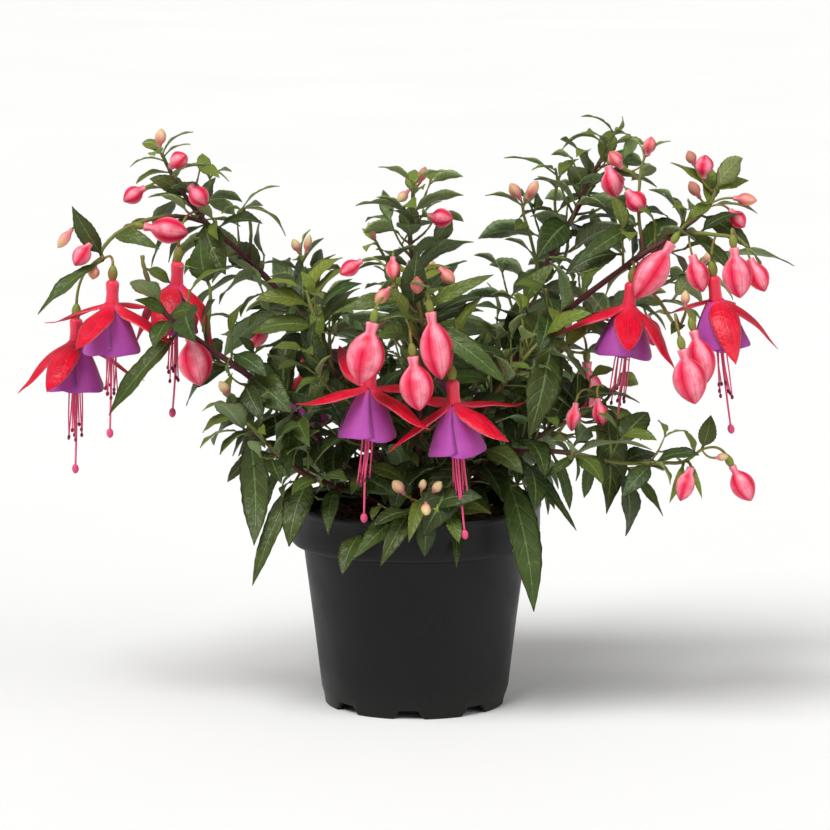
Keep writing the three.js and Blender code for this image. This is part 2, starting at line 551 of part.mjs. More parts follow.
/** A leaf as a keeled blade along a bowed midrib: a narrow foot, its widest part, and a tip. */
function leafShape({ base, tip, width, rise, roll = 0, own }, swell = 0) {
  const chord = tip.clone().sub(base).normalize();
  const outward = new THREE.Vector3(base.x, base.y, 0).normalize().multiplyScalar(0.6).add(UP);
  const face = squareTo(outward, chord);
  const control = base.clone().add(tip).multiplyScalar(0.5).addScaledVector(face, 2 * rise);
  const over = face.clone().applyAxisAngle(chord, roll);
  const across = new THREE.Vector3().crossVectors(chord, over);
  const under = over.negate();
  const section = (s, reach) =>
    bladeSection(bend(base, control, tip, s), across, under, reach, LEAF_THICKNESS, swell);
  const end = tip.clone().addScaledVector(chord, 3 * swell);
  const shoulder = own ? [section(0.78, width * 0.3)] : [];
  return solid(loft([section(0, 0.8), section(own ? 0.42 : 0.5, width / 2), ...shoulder, [end]]));
}

/** A stem's leaves: crossed pairs that droop with their length, and the leaves with a place of their own. */
function leavesOf(stem) {
  const [count, first, longest, shortest] = stem.pairs;
  const last = stem.line.length - 1.12;
  const leaves = [];
  for (let k = 0; k < count; k += 1) {
    const share = count > 1 ? k / (count - 1) : 0;
    const { point, along } = stationOn(stem, first + (last - first) * share);
    const level = Math.abs(along.z) > 0.95
      ? new THREE.Vector3(1, 0, 0)
      : new THREE.Vector3().crossVectors(along, UP);
    const side = squareTo(level, along);
    for (const half of [0, 1]) {
      const item = 2 * k + half;
      const angle = radians(stem.turn + 90 * k + 180 * half + 30 * (scatter(stem.row, item) - 0.5));
      const out = side.clone().applyAxisAngle(along, angle);
      const fork = radians(FORK_ANGLE - 22 * share + 16 * (scatter(stem.row, item + 50) - 0.5));
      const heading = along.clone().multiplyScalar(Math.cos(fork)).addScaledVector(out, Math.sin(fork));
      const variety = 0.8 + 0.4 * scatter(stem.row, item + 100);
      const length = THREE.MathUtils.lerp(longest, shortest, share) * variety;
      heading.addScaledVector(UP, -0.25 - 0.35 * scatter(stem.row, item + 150)).normalize();
      const base = point.clone().addScaledVector(along, 0.6 * half);
      const tip = base.clone().addScaledVector(heading, length);
      const roll = 0.7 * (scatter(stem.row, item + 200) - 0.5);
      leaves.push({ base, tip, width: length * LEAF_WIDTH_SHARE, rise: 0.13 * length, roll });
    }
  }
  for (const [place, tip, width, rise] of stem.own ?? []) {
    leaves.push({ base: stationOn(stem, place).point, tip: vec(tip), width, rise, own: true });
  }
  return leaves;
}

/** The stations of a stalk that leaves `start` and bows over until it runs along `axis` at `end`. */
function stalkLine(start, end, axis, swell, shares) {
  const control = end.clone().addScaledVector(axis, -0.55 * start.distanceTo(end));
  return shares.map((s) => [bend(start, control, end, s), PEDICEL_RADIUS + swell]);
}

/** Where the stalk of a flower or large bud starts: just clear of its stem, on the side towards `end`. */
function stalkFoot(stem, place, end) {
  const { point, radius } = stationOn(stem, place);
  const towards = end.clone().sub(point).normalize();
  return point.addScaledVector(towards, radius + GAP);
}

/** A bud on its stalk, turned about the line from its top to its tip: a tube, a balloon and a point. */
function budShape({ foot, top, tip, radius, shares, outline, sides }, swell = 0) {
  const axis = tip.clone().sub(top);
  const length = axis.length();
  axis.normalize();
  const stalk = stalkLine(foot, top, axis, swell, shares);
  const body = outline.map(([r, z]) => [top.clone().addScaledVector(axis, z * length), r * radius + swell]);
  return solid(rod([...stalk, ...body, [tip.clone().addScaledVector(axis, 3 * swell), 0]], sides));
}

/** A small bud that is part of its branch, with its stalk starting inside the stem. */
function smallBud(stem, [place, top, tip, radius]) {
  const foot = stationOn(stem, place).point;
  const plan = { foot, top: vec(top), tip: vec(tip), radius };
  return budShape({ ...plan, shares: [0, 0.7], outline: SMALL_BUD_OUTLINE, sides: 4 });
}

// ---------------------------------------------------------------- flowers

/** A flower's own directions: down its axis, to its right and to its front. */
function flowerFrame({ top, hem }) {
  const axis = vec(hem).sub(vec(top)).normalize();
  const right = squareTo(new THREE.Vector3(1, 0, 0), axis);
  const front = new THREE.Vector3().crossVectors(axis, right);
  const mouth = vec(top).addScaledVector(axis, FLOWER.tubeLength);
  return { axis, right, front, top: vec(top), mouth };
}

/** One sepal: a blade whose midrib runs in the plane of the axis and turns evenly from high to low. */
function sepalShape({ axis, right, front, mouth }, [round, lift], swell = 0) {
  const out = front.clone().multiplyScalar(Math.cos(radians(round)))
    .addScaledVector(right, Math.sin(radians(round)));
  const across = new THREE.Vector3().crossVectors(axis, out);
  const start = radians(Math.max(lift + FLOWER.sepalDroop, FLOWER.sepalSpread));
  const end = radians(2 * lift) - start;
  const root = mouth.clone().addScaledVector(out, FLOWER.tubeRadius - 1.2).addScaledVector(axis, -1.5);
  const reach = FLOWER.sepalLength / (end - start);
  const at = (s) => {
    const angle = start + (end - start) * s;
    return root.clone().addScaledVector(axis, reach * (Math.sin(angle) - Math.sin(start)))
      .addScaledVector(out, -reach * (Math.cos(angle) - Math.cos(start)));
  };
  const section = (s, share) => {
    const angle = start + (end - start) * s;
    const over = axis.clone().multiplyScalar(-Math.sin(angle)).addScaledVector(out, Math.cos(angle));
    return bladeSection(at(s), across, over, (FLOWER.sepalWidth / 2) * share, FLOWER.sepalThickness, swell);
  };
  const tip = at(1).addScaledVector(axis, 3 * swell * Math.cos(end))
    .addScaledVector(out, 3 * swell * Math.sin(end));
  return solid(loft([section(0, 0.3), section(0.4, 1), section(0.75, 0.72), [tip]]));
}

/** The calyx with what carries it: stalk, ovary, tube and four sepals. */
function calyxShape(flower, swell = 0) {
  const frame = flowerFrame(flower);
  const { ovaryLength, ovaryRadius, tubeLength, tubeRadius } = FLOWER;
  const neck = frame.top.clone().addScaledVector(frame.axis, -ovaryLength);
  const foot = stalkFoot(flower.stem, flower.on[2], neck);
  const body = [[1, 1.2], [ovaryLength * 0.5, ovaryRadius], [ovaryLength, 1.6],
    [ovaryLength + 1.5, tubeRadius - 0.2],
    [ovaryLength + tubeLength, tubeRadius]]
    .map(([z, r]) => [neck.clone().addScaledVector(frame.axis, z), r + swell]);
  const stalk = stalkLine(foot, neck, frame.axis, swell, [0, 0.4, 0.8]);
  const sepals = flower.sepals.map((sepal) => sepalShape(frame, sepal, swell));
  return joined([solid(rod([...stalk, ...body], 6)), ...sepals]);
}

/** The corolla: an open bell of overlapping petals. Swollen, it is filled in, to keep others out of it. */
function corollaShape(flower, swell = 0) {
  const { axis, mouth } = flowerFrame(flower);
  const { corollaLength: long, throatRadius } = FLOWER;
  const wide = FLOWER.corollaRadius * (flower.fullness ?? 1);
  const skirt = [[4.5, GAP], [0.66 * wide, 0.24 * long], [0.86 * wide, 0.6 * long], [wide, long]];
  const outside = skirt.map(([r, z]) => [r + swell, z]);
  const inside = skirt.slice(1).reverse().map(([r, z]) => [r - 1.1, z + 0.5]);
  const profile = swell ? [[0, -swell], ...outside, [0, long + swell]]
    : [[throatRadius, GAP], ...outside, ...inside, [throatRadius, 0.13 * long], [throatRadius, GAP]];
  return solid(turned(profile, FLOWER.corollaSides, mouth, axis));
}

/** Eight stamens and the longer pistil, all from one small disc in the corolla's throat. */
function stamensShape(flower, row, swell = 0) {
  const { axis, right, front, mouth } = flowerFrame(flower);
  const { throatRadius, corollaLength, stamens, stamenReach, stamenSpread, filamentRadius } = FLOWER;
  const root = mouth.clone().addScaledVector(axis, GAP);
  const disc = rod([0, 2.5].map((z) =>
    [root.clone().addScaledVector(axis, z), throatRadius - GAP + swell]), 6);
  const pieces = [solid(disc)];
  for (let k = 0; k <= stamens; k += 1) {
    const isPistil = k === stamens;
    const angle = ((k + scatter(row, k)) / stamens) * 2 * Math.PI;
    const spread = isPistil ? 1.5 : stamenSpread * (0.4 + 0.6 * scatter(row, k + 20));
    const beyond = isPistil ? FLOWER.pistilReach : stamenReach * (0.7 + 0.4 * scatter(row, k + 40));
    const reach = corollaLength + beyond;
    const out = front.clone().multiplyScalar(Math.cos(angle)).addScaledVector(right, Math.sin(angle));
    const end = mouth.clone().addScaledVector(axis, reach).addScaledVector(out, spread);
    const foot = root.clone().addScaledVector(axis, 1).addScaledVector(out, isPistil ? 0 : 0.8);
    const knob = (isPistil ? FLOWER.stigmaRadius : FLOWER.antherRadius) + swell;
    const thread = filamentRadius + swell;
    const neck = end.clone().addScaledVector(axis, -2.4 * knob);
    const belly = end.clone().addScaledVector(axis, -1.2 * knob);
    end.addScaledVector(axis, 3 * swell);
    pieces.push(solid(rod([[foot, thread], [neck, thread], [belly, knob], [end, 0]], 3)));
  }
  return joined(pieces);
}

// ---------------------------------------------------------------- putting the plant together

const material = (color, roughness) => new THREE.MeshStandardMaterial({ color, roughness, metalness: 0 });
const LOOKS = {
  pot: () => material('#17181a', 0.45),
  compost: () => material('#3a211b', 0.95),
  bark: () => material('#5a3a3e', 0.8),
  leaf: () => material('#42603a', 0.55),
  calyx: () => material('#e01030', 0.4),
  corolla: () => material('#8f449f', 0.5),
  stamens: () => material('#f0608c', 0.5),
  bud: () => material('#f0446a', 0.4),
};

const stemsOf = (branch) => [branch, ...(branch.twigs ?? [])];
BRANCHES.flatMap(stemsOf).forEach((stem, row) => {
  stem.line = stem.route.map(vec);
  stem.row = row + 1;
});

/** The stem that `on` names: a branch, and its twig's number, or -1 for the branch itself. */
function stemNamed([name, twig]) {
  const branch = BRANCHES.find((each) => each.name === name);
  return twig < 0 ? branch : branch.twigs[twig];
}
[...FLOWERS, ...BUDS].forEach((each) => {
  each.stem = stemNamed(each.on);
});

const leafMarks = []; // points of the leaves that are kept, to keep the next ones off them

/** Whether a leaf has room beside the flowers, the large buds, the pot and the leaves before it. */
function hasRoom({ base, tip, own }) {
  const marks = [0.4, 0.6, 0.8, 1].map((s) => base.clone().lerp(tip, s));
  const clear = own || marks.every((point) => {
    const clearOfFlowers = FLOWERS.every(({ top, hem }) => {
      const nearest = new THREE.Line3(vec(top), vec(hem))
        .closestPointToPoint(point, true, new THREE.Vector3());
      return nearest.distanceTo(point) > FLOWER.corollaRadius + 5;
    });
    const clearOfBuds = BUDS.every((bud) =>
      vec(bud.top).lerp(vec(bud.tip), 0.6).distanceTo(point) > bud.radius + 6);
    const overPot = Math.hypot(point.x, point.y) > POT.rimRadius + 3 || point.z > POT.height + 2;
    return clearOfFlowers && clearOfBuds && overPot
      && leafMarks.every((mark) => mark.distanceTo(point) > LEAF_SPACING);
  });
  if (clear) leafMarks.push(...marks);
  return clear;
}

const group = new THREE.Group();
const placed = []; // the swollen solids of what is already in place

/** Adds the largest body of a solid as a named mesh. */
function place(name, whole, look) {
  const mesh = new THREE.Mesh(geometryOf(cleaned(whole)), look());
  mesh.geometry.computeVertexNormals();
  mesh.name = name;
  group.add(mesh);
}

/** Whether the boxes of two solids meet. */
function near(a, b) {
  const [p, q] = [a.boundingBox(), b.boundingBox()];
  return [0, 1, 2].every((k) => p.min[k] <= q.max[k] && q.min[k] <= p.max[k]);
}

/** A solid cut back from everything in place, apart from what belongs to `owner`. */
function cutBack(whole, owner = null) {
  let rest = whole;
  for (const other of placed) {
    if (other.owner !== owner && near(rest, other.room)) rest = rest.subtract(other.room);
  }
  return rest;
}

place('nursery_pot', nurseryPot(), LOOKS.pot);
place('compost', compost(), LOOKS.compost);
place('crown', crown(), LOOKS.bark);
placed.push({ owner: 'pot', room: potRoom() }, { owner: 'crown', room: crown(KEEP_OFF) });

// Stems first, so that no flower or leaf cuts one through.
for (const branch of BRANCHES) {
  const whole = joined(stemsOf(branch).map((stem) => stemShape(stem)));
  branch.frameSolid = largest(cutBack(whole));
  const room = joined(stemsOf(branch).map((stem) => stemShape(stem, KEEP_OFF)));
  placed.push({ owner: branch.name, room });
}

// Flowers and large buds next, each cut back from the stems and from its own corolla.
for (const flower of FLOWERS) {
  place(`${flower.name}_corolla`, cutBack(corollaShape(flower)), LOOKS.corolla);
  placed.push({ owner: flower.name, room: corollaShape(flower, KEEP_OFF) });
  place(`${flower.name}_calyx`, cutBack(calyxShape(flower)), LOOKS.calyx);
  placed.push({ owner: flower.name, room: calyxShape(flower, KEEP_OFF) });
}
for (const bud of BUDS) {
  const [top, tip] = [vec(bud.top), vec(bud.tip)];
  const foot = stalkFoot(bud.stem, bud.on[2], top);
  const plan = { foot, top, tip, radius: bud.radius, shares: [0, 0.4, 0.8], outline: BUD_OUTLINE, sides: 7 };
  place(bud.name, cutBack(budShape(plan)), LOOKS.bud);
  placed.push({ owner: bud.name, room: budShape(plan, KEEP_OFF) });
}
FLOWERS.forEach((flower, k) => {
  place(`${flower.name}_stamens`, cutBack(stamensShape(flower, 60 + k), flower.name), LOOKS.stamens);
  placed.push({ owner: `${flower.name}_stamens`, room: stamensShape(flower, 60 + k, KEEP_OFF) });
});

// Leaves and small buds last: each branch's own are joined to its stems.
for (const branch of BRANCHES) {
  branch.leaves = stemsOf(branch).flatMap((stem) => leavesOf(stem));
}
const everyLeaf = BRANCHES.flatMap((branch) => branch.leaves);
const ownFirst = [...everyLeaf.filter((leaf) => leaf.own), ...everyLeaf.filter((leaf) => !leaf.own)];
const keptLeaves = new Set(ownFirst.filter(hasRoom));
for (const branch of BRANCHES) {
  const leaves = branch.leaves.filter((leaf) => keptLeaves.has(leaf));
  const growth = [...leaves.map((leaf) => leafShape(leaf)),
    ...stemsOf(branch).flatMap((stem) => (stem.buds ?? []).map((bud) => smallBud(stem, bud)))];
  place(branch.name, branch.frameSolid.add(cutBack(joined(growth), branch.name)), LOOKS.leaf);
  placed.push({ owner: branch.name, room: joined(leaves.map((leaf) => leafShape(leaf, KEEP_OFF))) });
}

export default group;
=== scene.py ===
"""A fuchsia in flower, in its black nursery pot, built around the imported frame.

Lengths are millimetres throughout; make_piece turns them to metres when it makes a mesh.
The plant's plan (stems, leaves, flowers and buds) is the same as the one that made the frame.
"""
import logging
import math
from collections.abc import Callable
from dataclasses import dataclass, field, fields
from enum import Enum
from functools import partial

import bpy
import numpy as np
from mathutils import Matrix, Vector


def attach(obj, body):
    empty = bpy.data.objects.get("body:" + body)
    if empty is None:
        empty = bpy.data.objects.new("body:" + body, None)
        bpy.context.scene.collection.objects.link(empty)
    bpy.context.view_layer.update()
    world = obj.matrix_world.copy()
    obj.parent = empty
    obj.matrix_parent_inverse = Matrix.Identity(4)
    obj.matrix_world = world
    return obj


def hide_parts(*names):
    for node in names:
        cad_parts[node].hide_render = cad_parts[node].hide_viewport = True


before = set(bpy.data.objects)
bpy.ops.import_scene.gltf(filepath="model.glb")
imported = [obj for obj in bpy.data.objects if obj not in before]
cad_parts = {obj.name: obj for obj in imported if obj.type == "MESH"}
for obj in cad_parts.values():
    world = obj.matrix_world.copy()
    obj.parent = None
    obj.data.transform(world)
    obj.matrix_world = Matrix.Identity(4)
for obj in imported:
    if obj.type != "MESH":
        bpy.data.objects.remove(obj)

logging.basicConfig(level=logging.INFO, format="%(message)s")
log = logging.getLogger("fuchsia")

Array = np.ndarray
Point = tuple[float, float, float]
Carrier = tuple[str, int, float]
Adder = Callable[..., bpy.types.NodeSocket | list[bpy.types.NodeSocket]]
Look = tuple[bpy.types.NodeSocket, ...]

UP = np.array([0.0, 0.0, 1.0])
METRES = 0.001
SMOOTH = 180.0
GRAIN = 0.55
SHADER_INPUTS = (
    "Roughness", "IOR", "Specular IOR Level", "Subsurface Weight", "Subsurface Scale",
    "Subsurface Radius", "Sheen Weight", "Sheen Roughness",
)

# ---- small sums


def unit(vectors: Array) -> Array:
    """The vectors scaled to a length of one."""
    return vectors / np.maximum(np.linalg.norm(vectors, axis=-1, keepdims=True), 1e-9)


def square_to(vectors: Array, axis: Array) -> Array:
    """The part of the vectors that is square to the unit axis, as unit vectors."""
    return unit(vectors - np.sum(vectors * axis, axis=-1, keepdims=True) * axis)


def turned_about(vectors: Array, axis: Array, angle: Array) -> Array:
    """The vectors turned about a unit axis by an angle in radians (Rodrigues' formula).

    Args:
        vectors: Vectors to turn, with the three coordinates last.
        axis: Unit axes, in a shape that broadcasts with the vectors.
        angle: Angles that broadcast with the vectors once they get a last axis.

    Returns:
        The turned vectors.
    """
    angle = np.asarray(angle, dtype=float)[..., None]
    along = np.sum(vectors * axis, axis=-1, keepdims=True)
    turned = vectors * np.cos(angle) + np.cross(axis, vectors) * np.sin(angle)
    return turned + axis * along * (1 - np.cos(angle))


def place_at(point: Point) -> Array:
    """A point's coordinates as an array."""
    return np.array(point, dtype=float)


def round_turn(count: int) -> Array:
    """Angles spread evenly over a full turn, from zero, in radians."""
    return np.linspace(0, 2 * math.pi, count, endpoint=False)


def smooth_step(low: float, high: float, value: Array) -> Array:
    """0 below low, 1 above high, and an even S between them."""
    share = np.clip((value - low) / (high - low), 0, 1)
    return share * share * (3 - 2 * share)


def scatter(row: float, item: float) -> float:
    """A number from 0 to 1 that looks random and is the same each time for the same two numbers."""
    value = math.sin(row * 78.233 + item * 12.9898) * 43758.5453
    return value - math.floor(value)


def noise(points: Array, size: float, seed: float) -> Array:
    """Soft bumps from -1 to 1: the sum of five slanting sine waves of about the given size in mm."""
    total = np.zeros(points.shape[:-1])
    for k in range(5):
        heading = unit(np.array([scatter(seed, k + step) - 0.5 for step in (0, 9, 18)]))
        pitch = 2 * math.pi / (size * (0.7 + 0.15 * k))
        total = total + np.sin(points @ heading * pitch + 7 * scatter(seed, k + 27))
    return total / 3


# ---- surfaces


@dataclass
class Skin:
    """Closed surfaces for one mesh: corners, faces, each face's place on the pattern, and what grew there.

    growth holds three values for each corner: the age from 0 (new) to 1 (old), a number of the item's own,
    and a free value.
    """

    points: Array
    quads: Array
    quad_uv: Array
    quad_slot: Array
    tris: Array
    tri_uv: Array
    tri_slot: Array
    growth: Array


def skin_of(
    rings: Array,
    growth: Array | tuple[float, float, float] = (1.0, 0.5, 0.0),
    across: Array | None = None,
    along: Array | None = None,
    slots: Array | None = None,
    end_slot: int = 0,
) -> Skin:
    """Closes stacks of rings into skins: four-sided faces between rings, and a fan over each end.

    Args:
        rings: Corners as (item, ring, place round the ring, coordinate).
        growth: The three growth values, one set for all or one for each item.
        across: Pattern's first coordinate at each place round, with one more for the closing edge.
        along: Pattern's second coordinate at each ring.
        slots: Material slot of the face after each place round.
        end_slot: Material slot of the fans.

    Returns:
        The skins of all the items together, with their faces outwards.
    """
    items, rows, cols, _ = rings.shape
    across = np.linspace(0, 1, cols + 1) if across is None else np.asarray(across, dtype=float)
    along = np.linspace(0, 1, rows) if along is None else np.asarray(along, dtype=float)
    slots = np.zeros(cols, dtype=int) if slots is None else np.asarray(slots, dtype=int)
    ends = rings[:, [0, -1]].mean(axis=2)
    points = np.concatenate([rings.reshape(items, -1, 3), ends], axis=1)
    row, col = np.meshgrid(np.arange(rows - 1), np.arange(cols), indexing="ij")
    after = (col + 1) % cols
    low, high = row * cols, (row + 1) * cols
    quad = np.stack([low + col, low + after, high + after, high + col], axis=-1)
    square = ((0, 0), (1, 0), (1, 1), (0, 1))
    quad_uv = np.stack([np.stack([across[col + i], along[row + j]], axis=-1) for i, j in square], axis=-2)
    place = np.arange(cols)
    after = (place + 1) % cols
    base, top = np.full(cols, rows * cols), np.full(cols, rows * cols + 1)
    last = (rows - 1) * cols
    fans = [[base, after, place], [top, last + place, last + after]]
    tri = np.concatenate([np.stack(fan, axis=-1) for fan in fans])
    tri_uv = np.concatenate([
        np.stack([np.stack([across[place + d], np.full(cols, along[end])], axis=-1) for d in steps], axis=1)
        for end, steps in ((0, (0, 1, 0)), (-1, (0, 0, 1)))
    ])
    step = (np.arange(items) * points.shape[1])[:, None, None]
    growth = np.broadcast_to(np.asarray(growth, dtype=float), (items, 3))
    made = Skin(
        points=points.reshape(-1, 3),
        quads=(quad.reshape(1, -1, 4) + step).reshape(-1, 4),
        quad_uv=np.tile(quad_uv.reshape(-1, 4, 2), (items, 1, 1)),
        quad_slot=np.tile(slots[col].ravel(), items),
        tris=(tri[None] + step).reshape(-1, 3),
        tri_uv=np.tile(tri_uv, (items, 1, 1)),
        tri_slot=np.full(2 * cols * items, end_slot),
        growth=np.repeat(growth, points.shape[1], axis=0),
    )
    a, b, c, d = (made.points[made.quads[:, k]] for k in range(4))
    if np.sum(a * np.cross(b, c)) + np.sum(a * np.cross(c, d)) < 0:
        made.quads, made.quad_uv = made.quads[:, ::-1], made.quad_uv[:, ::-1]
        made.tris, made.tri_uv = made.tris[:, ::-1], made.tri_uv[:, ::-1]
    return made


def together(skins: list[Skin]) -> Skin:
    """Several skins as one, in order."""
    starts = np.cumsum([0] + [len(skin.points) for skin in skins[:-1]])
    return Skin(**{
        part.name: np.concatenate([
            getattr(skin, part.name) + (start if part.name in ("quads", "tris") else 0)
            for skin, start in zip(skins, starts)
        ])
        for part in fields(Skin)
    })


def smooth_line(route: Array, per_span: int) -> Array:
    """A smooth line through the route's points: Catmull and Rom's cubic, with its ends carried straight on.

    Args:
        route: Points to pass through, as (point, coordinate).
        per_span: Steps between one point and the next.

    Returns:
        The line's points.
    """
    padded = np.vstack([2 * route[0] - route[1], route, 2 * route[-1] - route[-2]])
    place = np.linspace(0, len(route) - 1, (len(route) - 1) * per_span + 1)
    span = np.minimum(place.astype(int), len(route) - 2)
    t = (place - span)[:, None]
    a, b, c, d = (padded[span + k] for k in range(4))
    return 0.5 * (2 * b + (c - a) * t + (2 * a - 5 * b + 4 * c - d) * t**2 + (3 * b - a - 3 * c + d) * t**3)


def bent_line(start: Array, control: Array, end: Array, steps: int) -> Array:
    """The quadratic curve from start to end that leans towards its control point."""
    s = np.linspace(0, 1, steps)[:, None]
    return start * (1 - s) ** 2 + 2 * control * s * (1 - s) + end * s**2


def round_rings(
    line: Array, radii: Array, sides: int, shape: Array | float = 1.0
) -> Array:
    """Rings square to a line: centre + radius × shape × (cos, sin) in two directions square to its slope.

    The directions come from the slope and the line's own plane, so they never spin.

    Args:
        line: Points of the line, as (ring, coordinate).
        radii: Radius at each point.
        sides: Corners in each ring.
        shape: What the radius is multiplied by, as (ring, place round) or one number.

    Returns:
        Rings as (1, ring, place round, coordinate).
    """
    slope = unit(np.gradient(line, axis=0))
    plane = np.cross(line[-1] - line[0], line[len(line) // 2] - line[0])
    if np.linalg.norm(plane) < 1e-3:
        plane = np.cross(slope[0], [0.3, 0.8, 0.52])
    first = square_to(np.broadcast_to(unit(plane), slope.shape), slope)
    second = np.cross(slope, first)
    angle = round_turn(sides)
    reach = (np.asarray(radii, dtype=float)[:, None] * shape * np.ones(sides))[..., None]
    circle = np.cos(angle)[None, :, None] * first[:, None] + np.sin(angle)[None, :, None] * second[:, None]
    return (line[:, None] + reach * circle)[None]


# ---- making pieces and materials


def make_piece(
    name: str,
    skin: Skin,
    materials: list[bpy.types.Material],
    nodes: tuple[str, ...],
    crisp: float = SMOOTH,
) -> None:
    """Makes one visible piece of the plant or pot, in place of the frame's nodes that it stands for.

    Args:
        name: The piece's name.
        skin: Its surface in millimetres.
        materials: Its materials, in the order of the skin's slots.
        nodes: The frame's nodes that it stands for.
        crisp: Edges that turn by more degrees than this are shaded sharp.
    """
    mesh = bpy.data.meshes.new(name)
    corners = np.concatenate([skin.quads.ravel(), skin.tris.ravel()])
    sizes = np.concatenate([np.full(len(skin.quads), 4), np.full(len(skin.tris), 3)])
    mesh.vertices.add(len(skin.points))
    mesh.loops.add(len(corners))
    mesh.polygons.add(len(sizes))
    mesh.vertices.foreach_set("co", (skin.points * METRES).ravel())
    mesh.polygons.foreach_set("loop_start", np.concatenate([[0], np.cumsum(sizes)[:-1]]))
    mesh.polygons.foreach_set("vertices", corners)
    mesh.polygons.foreach_set("material_index", np.concatenate([skin.quad_slot, skin.tri_slot]))
    mesh.polygons.foreach_set("use_smooth", np.ones(len(sizes), dtype=bool))
    mesh.update(calc_edges=True)
    uv = np.concatenate([skin.quad_uv.reshape(-1, 2), skin.tri_uv.reshape(-1, 2)])
    mesh.uv_layers.new(name="pattern").uv.foreach_set("vector", uv.ravel())
    growth = np.concatenate([skin.growth, np.ones((len(skin.growth), 1))], axis=1)
    mesh.attributes.new("growth", "FLOAT_COLOR", "POINT").data.foreach_set("color", growth.ravel())
    if crisp < SMOOTH:
        mesh.set_sharp_from_angle(angle=math.radians(crisp))
    for material in materials:
        mesh.materials.append(material)
    piece = bpy.data.objects.new(name, mesh)
    bpy.context.scene.collection.objects.link(piece)
    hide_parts(*nodes)
    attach(piece, "root")
    log.info("%s: %d faces", name, len(sizes))


def linear(colour: str) -> tuple[float, float, float, float]:
    """An sRGB hex colour as linear red, green, blue and full cover."""
    parts = [int(colour[k : k + 2], 16) / 255 for k in (1, 3, 5)]
    red, green, blue = (c / 12.92 if c <= 0.04045 else ((c + 0.055) / 1.055) ** 2.4 for c in parts)
    return red, green, blue, 1.0


def per_mm(size: float) -> float:
    """The scale of a noise on Object coordinates whose clouds are about this many millimetres across."""
    return 1 / (size * METRES)


class Kind(Enum):
    """Kinds of node: type, settings, the inputs that values fill in turn, and the outputs that it gives."""

    ABSOLUTE = ("Math", {"operation": "ABSOLUTE"}, (0,), 0)
    FRACTION = ("Math", {"operation": "FRACT"}, (0,), 0)
    PLUS = ("Math", {"operation": "ADD"}, (0, 1), 0)
    MINUS = ("Math", {"operation": "SUBTRACT"}, (0, 1), 0)
    TIMES = ("Math", {"operation": "MULTIPLY"}, (0, 1), 0)
    TIMES_PLUS = ("Math", {"operation": "MULTIPLY_ADD"}, (0, 1, 2), 0)
    POWER = ("Math", {"operation": "POWER"}, (0, 1), 0)
    LARGER = ("Math", {"operation": "MAXIMUM"}, (0, 1), 0)
    RANGE = ("MapRange", {"interpolation_type": "SMOOTHSTEP"}, (0, 1, 2, 3, 4), 0)
    MIX = ("Mix", {"data_type": "RGBA"}, (0, 6, 7), 2)
    RAMP = ("ValToRGB", {}, (0,), 0)
    TINT = ("HueSaturation", {}, ("Hue", "Value", "Color"), 0)
    NOISE = ("TexNoise", {}, ("Vector", "Scale", "Detail", "Roughness"), 0)
    STRETCH = ("Mapping", {}, ("Vector", "Scale"), 0)
    SPOT = ("TexCoord", {}, (), "Object")
    PATTERN = ("UVMap", {"uv_map": "pattern"}, (), 0)
    GROWTH = ("Attribute", {"attribute_name": "growth"}, (), "Color")
    DIRECTIONS = ("SeparateXYZ", {}, (0,), slice(0, 3))
    VALUES = ("SeparateColor", {}, (0,), slice(0, 3))
    BUMP = ("Bump", {}, ("Height", "Distance", "Strength"), 0)
    SHADER = ("BsdfPrincipled", {}, SHADER_INPUTS, 0)
    OUTPUT = ("OutputMaterial", {}, ("Surface",), slice(0, 0))


def add_node(
    tree: bpy.types.NodeTree, kind: Kind, *values: object, stops: tuple[tuple[float, str], ...] = ()
) -> bpy.types.NodeSocket | list[bpy.types.NodeSocket]:
    """Adds a node with its settings and links.

    Args:
        tree: The material's node tree.
        kind: The kind of node.
        values: For each of the kind's inputs in turn, a value, a hex colour or another node's output.
        stops: A ramp's positions and hex colours.

    Returns:
        The output or outputs that such a node gives.
    """
    name, settings, sockets, given = kind.value
    made = tree.nodes.new(f"ShaderNode{name}")
    for key, setting in settings.items():
        setattr(made, key, setting)
    for _ in stops[2:]:
        made.color_ramp.elements.new(0.5)
    for place, (position, colour) in enumerate(stops):
        made.color_ramp.elements[place].position = position
        made.color_ramp.elements[place].color = linear(colour)
    for socket, value in zip(sockets, values):
        if isinstance(value, bpy.types.NodeSocket):
            tree.links.new(value, made.inputs[socket])
        else:
            made.inputs[socket].default_value = linear(value) if isinstance(value, str) else value
    return made.outputs[given]


def washed(add: Adder, colour: object, *washes: tuple[object, ...]) -> bpy.types.NodeSocket:
    """Lays washes of colour over a colour, one on another.

    Args:
        add: Adds a node to the material's tree.
        colour: The colour underneath, as a hex colour or an output.
        washes: Each wash's guiding value, two marks on that value, its share at each, and its colour.

    Returns:
        The washed colour.
    """
    for value, low, high, at_low, at_high, wash in washes:
        colour = add(Kind.MIX, add(Kind.RANGE, value, low, high, at_low, at_high), colour, wash)
    return colour


